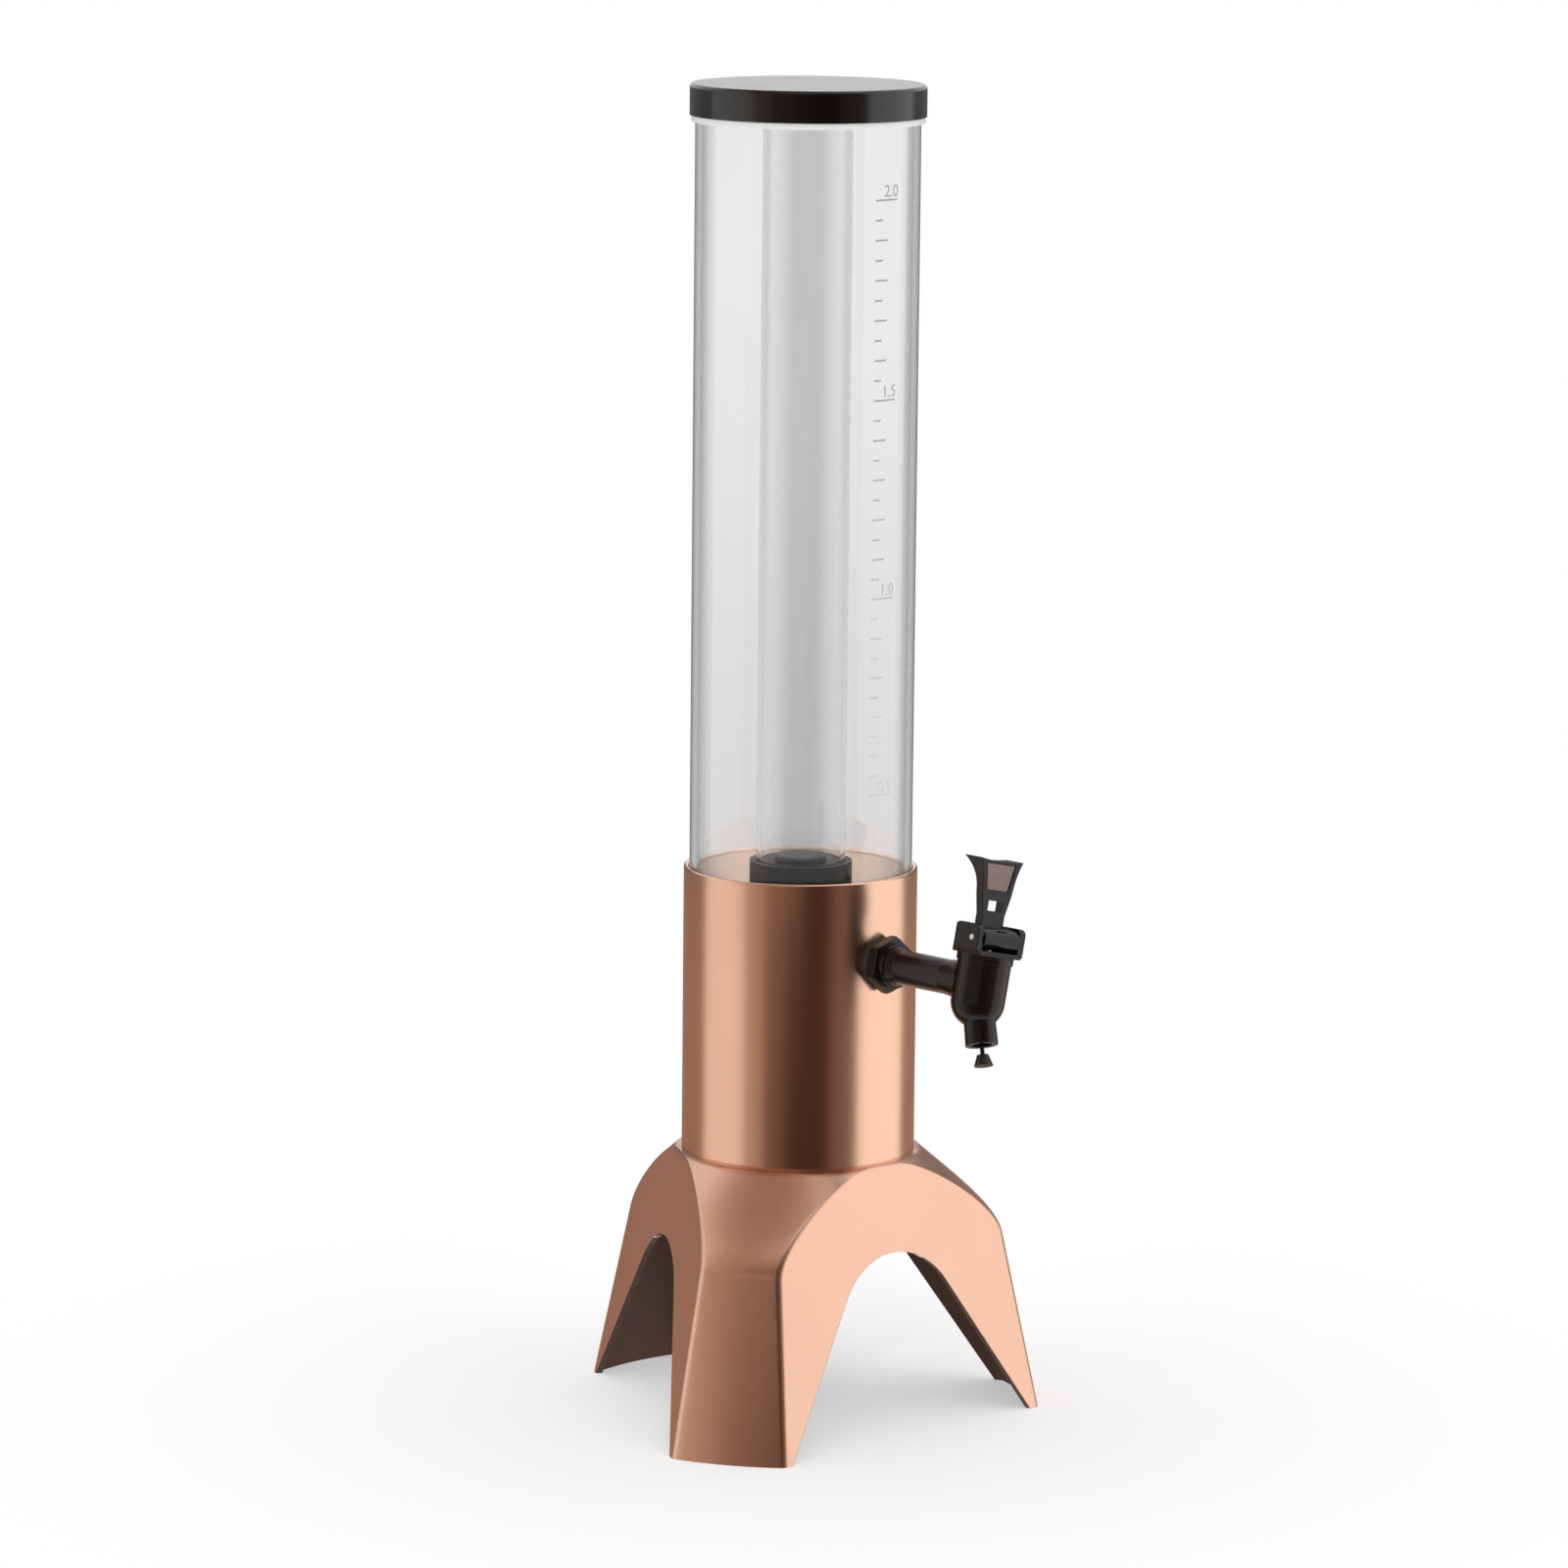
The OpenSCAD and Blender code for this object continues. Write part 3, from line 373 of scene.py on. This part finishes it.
def buildGrain():
    # Handling marks in the gloss and a fine grain in the height
    group, start, end = newGroup(
        "surface_grain",
        [("Roughness", "NodeSocketFloat", 0.3), ("Spread", "NodeSocketFloat", 0.08),
         ("Mark Scale", "NodeSocketFloat", 30), ("Grain Scale", "NodeSocketFloat", 900)],
        [("Roughness", "NodeSocketFloat"), ("Height", "NodeSocketFloat")])
    nodes = group.nodes
    place = nodes.new("ShaderNodeTexCoord")
    marks = addNode(nodes, "ShaderNodeTexNoise", {"Detail": 6, "Roughness": 0.65})
    centred = addNode(nodes, "ShaderNodeMath", {1: 0.5}, operation="SUBTRACT")
    spread = addNode(nodes, "ShaderNodeMath", operation="MULTIPLY_ADD")
    grain = addNode(nodes, "ShaderNodeTexNoise", {"Detail": 2})
    connect(group.links,
        (place, "Object", marks, "Vector"), (start, "Mark Scale", marks, "Scale"), (marks, "Fac", centred, 0),
        (centred, 0, spread, 0), (start, "Spread", spread, 1), (start, "Roughness", spread, 2),
        (spread, 0, end, "Roughness"), (place, "Object", grain, "Vector"), (start, "Grain Scale", grain, "Scale"),
        (grain, "Fac", end, "Height"))
    return group


def buildSoftEdges():
    # Rounds the look of crisp edges by the given radius
    group, start, end = newGroup(
        "soft_edges", [("Radius", "NodeSocketFloat", 0.4 * mm)], [("Normal", "NodeSocketVector")])
    bevel = addNode(group.nodes, "ShaderNodeBevel", samples=6)
    connect(group.links, (start, "Radius", bevel, "Radius"), (bevel, "Normal", end, "Normal"))
    return group


# A surface counts as inside below these cosines, to the way out from the axis and to the way up
insideLimits = {"inwards": -0.15, "downwards": -0.9}


def buildInside(limits):
    # Mask of the surfaces that face the tower's axis or the floor, where finishes paint shade or a pale reflection
    group, _, end = newGroup("inside_mask", [], [("Mask", "NodeSocketFloat")])
    nodes = group.nodes
    place = nodes.new("ShaderNodeTexCoord")
    geometry = nodes.new("ShaderNodeNewGeometry")
    parts = nodes.new("ShaderNodeSeparateXYZ")
    outwards = addNode(nodes, "ShaderNodeVectorMath", {1: (towerX, towerY, 0)}, operation="SUBTRACT")
    flat = addNode(nodes, "ShaderNodeVectorMath", {1: (1, 1, 0)}, operation="MULTIPLY")
    unit = addNode(nodes, "ShaderNodeVectorMath", operation="NORMALIZE")
    facing = addNode(nodes, "ShaderNodeVectorMath", operation="DOT_PRODUCT")
    inwards = addNode(nodes, "ShaderNodeMath", {1: limits["inwards"]}, operation="LESS_THAN")
    downwards = addNode(nodes, "ShaderNodeMath", {1: limits["downwards"]}, operation="LESS_THAN")
    either = addNode(nodes, "ShaderNodeMath", operation="MAXIMUM")
    connect(group.links,
        (place, "Object", outwards, 0), (outwards, 0, flat, 0), (flat, 0, unit, 0), (unit, 0, facing, 0),
        (geometry, "True Normal", facing, 1), (facing, "Value", inwards, 0), (geometry, "True Normal", parts, 0),
        (parts, "Z", downwards, 0), (inwards, 0, either, 0), (downwards, 0, either, 1), (either, 0, end, "Mask"))
    return group


driftGroup = buildDrift()
grainGroup = buildGrain()
edgeGroup = buildSoftEdges()
insideGroup = buildInside(insideLimits)

# What a finish has where its own values say nothing
plainFinish = {"metallic": 0, "ior": 1.5, "coat": 0, "coatRoughness": 0.08, "grainDepth": 0.2 * mm}


def makeFinish(ownValues):
    # One Principled surface with drift, marks, grain and soft edges
    finish = {**plainFinish, **ownValues}
    material, nodes, links = newTree(finish["name"])
    out = nodes.new("ShaderNodeOutputMaterial")
    shader = addNode(nodes, "ShaderNodeBsdfPrincipled", {"Metallic": finish["metallic"], "IOR": finish["ior"],
        "Coat Weight": finish["coat"], "Coat Roughness": finish["coatRoughness"]})
    drift = addNode(nodes, "ShaderNodeGroup", {"Color": (*finish["color"], 1), "Scale": finish["driftScale"],
        "Amount": finish["drift"]}, node_tree=driftGroup)
    grain = addNode(nodes, "ShaderNodeGroup", {"Roughness": finish["roughness"], "Spread": finish["marks"],
        "Mark Scale": finish["markScale"], "Grain Scale": finish["grainScale"]}, node_tree=grainGroup)
    bump = addNode(nodes, "ShaderNodeBump", {"Strength": finish["grain"], "Distance": finish["grainDepth"]})
    # Surfaces that face the axis or the floor take the finish's inside colour: painted shade in the base, a painted
    # reflection in the sleeve's mouth
    if "inside" in finish:
        mask = addNode(nodes, "ShaderNodeGroup", node_tree=insideGroup)
        coat = addNode(nodes, "ShaderNodeMix", {"B": (*finish["inside"], 1)}, data_type="RGBA")
        gloss = addNode(nodes, "ShaderNodeMix", {"B": finish["insideRoughness"]})
        connect(links,
            (mask, "Mask", coat, "Factor"), (drift, "Color", coat, "A"), (coat, "Result", shader, "Base Color"),
            (mask, "Mask", gloss, "Factor"), (grain, "Roughness", gloss, "A"),
            (gloss, "Result", shader, "Roughness"))
        if "insideMetallic" in finish:
            metal = addNode(nodes, "ShaderNodeMix", {"A": finish["metallic"], "B": finish["insideMetallic"]})
            connect(links, (mask, "Mask", metal, "Factor"), (metal, "Result", shader, "Metallic"))
    else:
        connect(links, (drift, "Color", shader, "Base Color"), (grain, "Roughness", shader, "Roughness"))
    if "edge" in finish:
        edges = addNode(nodes, "ShaderNodeGroup", {"Radius": finish["edge"]}, node_tree=edgeGroup)
        connect(links, (edges, "Normal", bump, "Normal"))
    connect(links, (grain, "Height", bump, "Height"), (bump, "Normal", shader, "Normal"), (shader, 0, out, 0))
    return material


def makeClear(finish):
    # Clear plastic whose colour is painted shade set by the slant of the view through its wall, mostly darker where
    # the view slants. Light passes straight through
    material, nodes, links = newTree(finish["name"])
    view = nodes.new("ShaderNodeLayerWeight")
    path = nodes.new("ShaderNodeLightPath")
    along = nodes.new("ShaderNodeValToRGB")
    setStops(along.color_ramp.elements, [(slant, (shade, shade, shade)) for slant, shade in finish["slantShades"]])
    drift = addNode(nodes, "ShaderNodeGroup", {"Scale": finish["driftScale"], "Amount": finish["drift"]},
        node_tree=driftGroup)
    shader = addNode(nodes, "ShaderNodeBsdfPrincipled", {"Roughness": 0, "IOR": finish["ior"],
        "Transmission Weight": 1})
    through = addNode(nodes, "ShaderNodeBsdfTransparent", {"Color": (*finish["throughColor"], 1)})
    mix = nodes.new("ShaderNodeMixShader")
    out = nodes.new("ShaderNodeOutputMaterial")
    connect(links,
        (view, "Facing", along, "Fac"), (along, "Color", drift, "Color"), (drift, "Color", shader, "Base Color"),
        (path, "Is Shadow Ray", mix, 0), (shader, 0, mix, 1), (through, 0, mix, 2), (mix, 0, out, 0))
    return material


finishes = {
    "satinCopper": {
        "name": "satin_copper", "color": (0.86, 0.54, 0.40), "metallic": 1, "roughness": 0.25,
        "drift": 0.05, "driftScale": 7, "marks": 0.04, "markScale": 18,
        # Inside the sleeve: a matt inner side, whose pale colour stands in for the bright reflection seen in its
        # mouth
        "grain": 0.012, "grainScale": 900, "inside": (0.96, 0.74, 0.62), "insideRoughness": 0.6, "insideMetallic": 0,
    },
    "coatedCopper": {
        "name": "coated_copper", "color": (0.85, 0.53, 0.40), "metallic": 1, "roughness": 0.33,
        "drift": 0.05, "driftScale": 12, "marks": 0.06, "markScale": 30,
        # Inside and under the base: a dark colour that is painted shade in its hollow
        "grain": 0.03, "grainScale": 1500, "edge": 0.8 * mm, "inside": (0.10, 0.060, 0.048), "insideRoughness": 0.6,
    },
    "glossBlack": {
        "name": "gloss_black", "color": (0.003, 0.0028, 0.0025), "roughness": 0.24, "ior": 1.5,
        "drift": 0.3, "driftScale": 30, "marks": 0.08, "markScale": 40,
        "grain": 0.02, "grainScale": 1400, "edge": 0.5 * mm, "coat": 0.3, "coatRoughness": 0.15,
    },
    "tapBlack": {
        "name": "tap_black", "color": (0.004, 0.003, 0.0025), "roughness": 0.22, "ior": 1.40,
        "drift": 0.3, "driftScale": 30, "marks": 0.08, "markScale": 40,
        "grain": 0.02, "grainScale": 1400, "edge": 0.5 * mm,
    },
    "inlayGrey": {
        "name": "inlay_grey", "color": (0.165, 0.108, 0.100), "roughness": 0.42, "ior": 1.45,
        "drift": 0.15, "driftScale": 60, "marks": 0.1, "markScale": 90,
        "grain": 0.05, "grainScale": 1800,
    },
    "scalePrint": {
        "name": "scale_print", "color": (0.42, 0.42, 0.43), "roughness": 0.5,
        "drift": 0.15, "driftScale": 90, "marks": 0.1, "markScale": 120,
        "grain": 0.05, "grainScale": 1800,
    },
    "satinBlack": {
        "name": "satin_black", "color": (0.005, 0.0045, 0.004), "roughness": 0.42, "ior": 1.25,
        "drift": 0.25, "driftScale": 40, "marks": 0.15, "markScale": 60,
        "grain": 0.08, "grainScale": 1800, "edge": 0.3 * mm,
    },
    "blackRubber": {
        "name": "black_rubber", "color": (0.016, 0.016, 0.016), "roughness": 0.7,
        "drift": 0.3, "driftScale": 60, "marks": 0.2, "markScale": 80,
        "grain": 0.4, "grainScale": 2200,
    },
    "redRubber": {
        "name": "red_rubber", "color": (0.28, 0.035, 0.022), "roughness": 0.55,
        "drift": 0.2, "driftScale": 90, "marks": 0.2, "markScale": 120,
        "grain": 0.35, "grainScale": 2200,
    },
    "paleSilicone": {
        "name": "pale_silicone", "color": (0.90, 0.90, 0.89), "roughness": 0.4,
        "drift": 0.06, "driftScale": 30, "marks": 0.1, "markScale": 50,
        "grain": 0.15, "grainScale": 1500,
    },
    "steel": {
        "name": "steel", "color": (0.62, 0.62, 0.63), "metallic": 1, "roughness": 0.28,
        "drift": 0.12, "driftScale": 80, "marks": 0.15, "markScale": 150,
        "grain": 0.12, "grainScale": 2600, "edge": 0.15 * mm,
    },
}
# The slant shades of each clear finish are painted shade on its walls, mostly darker towards their edges in view
clearFinishes = {
    "clearTube": {
        "name": "clear_tube", "throughColor": (0.91, 0.91, 0.91), "drift": 0.02, "driftScale": 5, "ior": 1.49,
        "slantShades": [(0, 0.92), (0.50, 0.92), (0.72, 0.42), (1, 0.06)],
    },
    "clearIce": {
        "name": "clear_ice_tube", "throughColor": (0.90, 0.90, 0.90), "drift": 0.02, "driftScale": 7, "ior": 1.49,
        "slantShades": [(0, 0.83), (0.04, 0.83), (0.13, 0.95), (0.20, 1.0), (0.45, 1.0), (0.70, 0.72), (1, 0.50)],
    },
}
surface = {key: makeFinish(finish) for key, finish in finishes.items()}
surface.update({key: makeClear(finish) for key, finish in clearFinishes.items()})

nodeFinishes = {
    "satinCopper": ["sleeve"],
    "coatedCopper": ["tripod_base"],
    "clearTube": ["beer_tube"],
    "clearIce": ["ice_tube"],
    "glossBlack": ["lid"],
    "tapBlack": ["tap_body", "tap_bonnet", "tap_lever", "flange_nut", "drip_guide"],
    "satinBlack": ["ice_foot", "tube_plug", "seat_ring", "shank_nut"],
    "blackRubber": ["plug_seals", "ice_seal", "outer_washer", "inner_washer", "stem_seal"],
    "redRubber": ["valve_plug"],
    "paleSilicone": ["lid_gasket"],
    "steel": ["base_screws", "base_washers", "lever_pin", "valve_stem", "stem_pin", "valve_spring"],
}
for key, names in nodeFinishes.items():
    for name in names:
        for materialSlot in frame["nodes"][name].material_slots:
            materialSlot.material = surface[key]
print("beer tower: finishes applied")


def nodeRadius(name, pick):
    # Least or greatest distance of a node's points from the tower's axis
    return pick(math.hypot(v.co.x - towerX, v.co.y - towerY) for v in frame["nodes"][name].data.vertices)


tubeInner = nodeRadius("beer_tube", min)
iceRadius = nodeRadius("ice_tube", max)
iceInner = nodeRadius("ice_tube", min)
pipeZ = (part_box("outer_washer")[0].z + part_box("outer_washer")[1].z) / 2

# Base with its round edges shaded smoothly
smoothSettings = {"merge": 0.002 * mm, "angle": 32}


def smoothCopy(name, node, settings):
    bm = bmesh.new()
    bm.from_mesh(frame["nodes"][node].data)
    bmesh.ops.remove_doubles(bm, verts=bm.verts, dist=settings["merge"])
    piece = meshObject(name, bm, settings["angle"])
    evenNormals = piece.modifiers.new("even_normals", "WEIGHTED_NORMAL")
    evenNormals.keep_sharp = True
    evenNormals.weight = 100
    return piece


baseShell = smoothCopy("base_shell", "tripod_base", smoothSettings)
baseShell.data.materials.append(surface["coatedCopper"])
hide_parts("tripod_base")
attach(baseShell, "tower")
print("beer tower: base smoothed")

# Clear tubes with many flat sides, so that the light bends evenly in them
tubeSettings = {"sides": 288, "wallRows": 3, "holeRows": 16, "holeRadius": 8.3 * mm, "holeSpan": 12 * mm,
    "match": 0.2 * mm}


def makeTube(name, outer, inner, heights, holeZ=None):
    # A closed profile of both walls, turned once round the axis
    bm = bmesh.new()
    profile = [bm.verts.new((towerX + outer, towerY, z)) for z in heights]
    profile += [bm.verts.new((towerX + inner, towerY, z)) for z in reversed(heights)]
    edges = [bm.edges.new(pair) for pair in zip(profile, profile[1:] + profile[:1])]
    bmesh.ops.spin(bm, geom=profile + edges, cent=(towerX, towerY, 0), axis=(0, 0, 1),
        angle=2 * math.pi, steps=tubeSettings["sides"], use_merge=True)
    if holeZ is not None:
        cutHole(bm, outer, inner, heights, holeZ)
    bmesh.ops.recalc_face_normals(bm, faces=bm.faces)
    return meshObject(name, bm, smoothAngle=40)


def cutHole(bm, outer, inner, heights, holeZ):
    # The same faces leave both walls, and the open edges are joined from wall to wall
    def wallPlace(point):
        turn = math.atan2(point.x - towerX, towerY - point.y)
        return turn * (outer + inner) / 2, point.z

    def wallKey(vert):
        across, z = wallPlace(vert.co)
        return round(across / tubeSettings["match"]), round(z / tubeSettings["match"])

    shut = [face for face in bm.faces if heights[0] < face.calc_center_median().z < heights[-1]
        and math.dist(wallPlace(face.calc_center_median()), (0, holeZ)) < tubeSettings["holeRadius"]]
    bmesh.ops.delete(bm, geom=shut, context="FACES")
    openEdges = [edge for edge in bm.edges if len(edge.link_faces) == 1]
    middle = (outer + inner) / 2
    innerVerts = {}
    for edge in openEdges:
        for vert in edge.verts:
            if math.hypot(vert.co.x - towerX, vert.co.y - towerY) < middle:
                innerVerts[wallKey(vert)] = vert
    for edge in openEdges:
        one, two = edge.verts
        if math.hypot(one.co.x - towerX, one.co.y - towerY) > middle:
            bm.faces.new((one, two, innerVerts[wallKey(two)], innerVerts[wallKey(one)]))


def spread(low, high, count):
    return [low + (high - low) * step / count for step in range(count + 1)]


holeLow, holeHigh = pipeZ - tubeSettings["holeSpan"], pipeZ + tubeSettings["holeSpan"]
tubeHeights = (spread(tubeLow.z, holeLow, tubeSettings["wallRows"])[:-1]
    + spread(holeLow, holeHigh, tubeSettings["holeRows"])
    + spread(holeHigh, tubeHigh.z, tubeSettings["wallRows"])[1:])
clearTube = makeTube("clear_tube", tubeRadius, tubeInner, tubeHeights, pipeZ)
clearTube.data.materials.append(surface["clearTube"])
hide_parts("beer_tube")
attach(clearTube, "tower")

iceLow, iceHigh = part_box("ice_tube")
iceTube = makeTube("clear_ice_tube", iceRadius, iceInner, spread(iceLow.z, iceHigh.z, tubeSettings["wallRows"]))
iceTube.data.materials.append(surface["clearIce"])
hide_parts("ice_tube")
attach(iceTube, "ice_insert")
print("beer tower: clear tubes made")

# Volume scale printed on the clear tube above the tap: ticks and plain numbers
scaleSettings = {
    "first": 0.5, "last": 2.0, "step": 0.05, "middleStep": 0.1, "numberStep": 0.5,
    "zeroRise": 4 * mm, "print": 0.1 * mm, "lift": 0.02 * mm, "line": 0.8 * mm, "tickSteps": 6,
    "left": -6.5 * mm, "shortTick": 4 * mm, "middleTick": 7 * mm, "longTick": 13 * mm,
    "numberSize": 7.5 * mm, "numberLeft": -2 * mm, "numberRise": 1.4 * mm,
}


def onTube(across, height, rise):
    # Place on the clear tube, measured to the right along it from the tap's side
    angle = across / tubeRadius - math.pi / 2
    radius = tubeRadius + rise
    return Vector((towerX + radius * math.cos(angle), towerY + radius * math.sin(angle), height))


def addTick(bm, left, right, height, settings):
    low, high = height - settings["line"] / 2, height + settings["line"] / 2
    rises = (settings["lift"], settings["lift"] + settings["print"])
    sections = [[bm.verts.new(onTube(across, z, rise)) for z, rise in
        ((low, rises[0]), (low, rises[1]), (high, rises[1]), (high, rises[0]))]
        for across in spread(left, right, settings["tickSteps"])]
    for one, two in zip(sections, sections[1:]):
        for k in range(4):
            bm.faces.new((one[k], one[(k + 1) % 4], two[(k + 1) % 4], two[k]))
    bm.faces.new(sections[0])
    bm.faces.new(reversed(sections[-1]))


def addNumber(bm, words, height, settings):
    curve = bpy.data.curves.new("scale_number", "FONT")
    curve.body = words
    curve.size = settings["numberSize"]
    curve.extrude = settings["print"] / 2
    text = addObject("scale_number", curve)
    bpy.context.view_layer.update()
    mesh = bpy.data.meshes.new_from_object(text.evaluated_get(bpy.context.evaluated_depsgraph_get()))
    bpy.data.objects.remove(text)
    bpy.data.curves.remove(curve)
    before = len(bm.verts)
    bm.from_mesh(mesh)
    bpy.data.meshes.remove(mesh)
    bm.verts.ensure_lookup_table()
    for vert in bm.verts[before:]:
        vert.co = onTube(settings["numberLeft"] + vert.co.x, height + settings["numberRise"] + vert.co.y,
            settings["lift"] + settings["print"] / 2 + vert.co.z)


def makeScale(settings):
    bm = bmesh.new()
    litreHeight = litreVolume / (math.pi * (tubeInner ** 2 - iceRadius ** 2))
    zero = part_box("tube_plug")[1].z + settings["zeroRise"]
    count = round((settings["last"] - settings["first"]) / settings["step"])
    everyNumber = round(settings["numberStep"] / settings["step"])
    everyMiddle = round(settings["middleStep"] / settings["step"])
    for index in range(count + 1):
        volume = settings["first"] + index * settings["step"]
        height = zero + volume * litreHeight
        numbered = index % everyNumber == 0
        size = "longTick" if numbered else "middleTick" if index % everyMiddle == 0 else "shortTick"
        addTick(bm, settings["left"], settings["left"] + settings[size], height, settings)
        if numbered:
            addNumber(bm, f"{volume:.1f}", height, settings)
    bmesh.ops.recalc_face_normals(bm, faces=bm.faces)
    return meshObject("volume_scale", bm, smoothAngle=30)


volumeScale = makeScale(scaleSettings)
volumeScale.data.materials.append(surface["scalePrint"])
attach(volumeScale, "tower")
print("beer tower: scale printed")

# Ribbed plate in the lever's recess, measured from the hinge in the tap's own axes
inlaySettings = {
    "floor": 3.7 * mm, "thick": 0.3 * mm, "low": 21.4 * mm, "high": 32.8 * mm,
    "lowHalfWidth": 6.3 * mm, "highHalfWidth": 8.6 * mm, "edge": 0.12 * mm,
    "ribs": 8, "ribHeight": 0.5 * mm, "ribRise": 0.15 * mm, "ribInset": 0.9 * mm,
}


def addPlate(bm, low, high, halfLow, halfHigh, back, front):
    corners = [(-halfLow, low), (halfLow, low), (halfHigh, high), (-halfHigh, high)]
    rear = [bm.verts.new(tapFrame @ Vector((x, back, z))) for x, z in corners]
    fore = [bm.verts.new(tapFrame @ Vector((x, front, z))) for x, z in corners]
    bm.faces.new(fore)
    bm.faces.new(reversed(rear))
    for k in range(4):
        bm.faces.new((fore[k], rear[k], rear[(k + 1) % 4], fore[(k + 1) % 4]))


def makeInlay(settings):
    bm = bmesh.new()
    front = settings["floor"] - settings["thick"]
    low, high = settings["low"], settings["high"]
    addPlate(bm, low, high, settings["lowHalfWidth"], settings["highHalfWidth"], settings["floor"], front)
    bmesh.ops.bevel(bm, geom=list(bm.edges), offset=settings["edge"], affect="EDGES", segments=2, profile=0.5,
        material=-1)
    gain = (settings["highHalfWidth"] - settings["lowHalfWidth"]) / (high - low)
    for index in range(settings["ribs"]):
        base = low + (high - low) * (index + 1) / (settings["ribs"] + 1) - settings["ribHeight"] / 2
        half = settings["lowHalfWidth"] + gain * (base - low) - settings["ribInset"]
        addPlate(bm, base, base + settings["ribHeight"], half, half, front + settings["thick"] / 3,
            front - settings["ribRise"])
    bmesh.ops.recalc_face_normals(bm, faces=bm.faces)
    return meshObject("lever_inlay", bm, smoothAngle=30)


leverInlay = makeInlay(inlaySettings)
leverInlay.data.materials.append(surface["inlayGrey"])
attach(leverInlay, "lever")
print("beer tower: lever inlay fitted")

# Valve spring, wound as a coil in the place of the frame's spring
springSettings = {"wire": 1 * mm, "turns": 4, "rings": 24, "sides": 12}


def makeSpring(settings):
    node = frame["nodes"]["valve_spring"]
    points = [tapFrame.inverted() @ node.matrix_world @ vertex.co for vertex in node.data.vertices]
    low = Vector([min(point[axis] for point in points) for axis in range(3)])
    high = Vector([max(point[axis] for point in points) for axis in range(3)])
    middle = (low + high) / 2
    wire = settings["wire"] / 2
    radius = (high.x - low.x) / 2 - wire
    count = settings["turns"] * settings["rings"]
    bm = bmesh.new()
    rings = []
    for index in range(count + 1):
        turn = 2 * math.pi * index / settings["rings"]
        out = Vector((math.cos(turn), math.sin(turn), 0))
        height = low.z + wire + (high.z - low.z - 2 * wire) * index / count
        centre = Vector((middle.x, middle.y, height)) + out * radius
        angles = [2 * math.pi * side / settings["sides"] for side in range(settings["sides"])]
        offsets = [out * math.cos(angle) + Vector((0, 0, math.sin(angle))) for angle in angles]
        rings.append([bm.verts.new(tapFrame @ (centre + wire * offset)) for offset in offsets])
    for ring, following in zip(rings, rings[1:]):
        for k in range(len(ring)):
            after = (k + 1) % len(ring)
            bm.faces.new((ring[k], ring[after], following[after], following[k]))
    bm.faces.new(rings[0])
    bm.faces.new(rings[-1])
    bmesh.ops.recalc_face_normals(bm, faces=bm.faces)
    top = tapFrame @ Vector((middle.x, middle.y, high.z))
    foot = tapFrame @ Vector((middle.x, middle.y, low.z))
    return meshObject("spring_coil", bm), top, foot


springCoil, springTop, springFoot = makeSpring(springSettings)
springCoil.data.materials.append(surface["steel"])
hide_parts("valve_spring")
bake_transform(springCoil)
print("beer tower: valve spring wound")
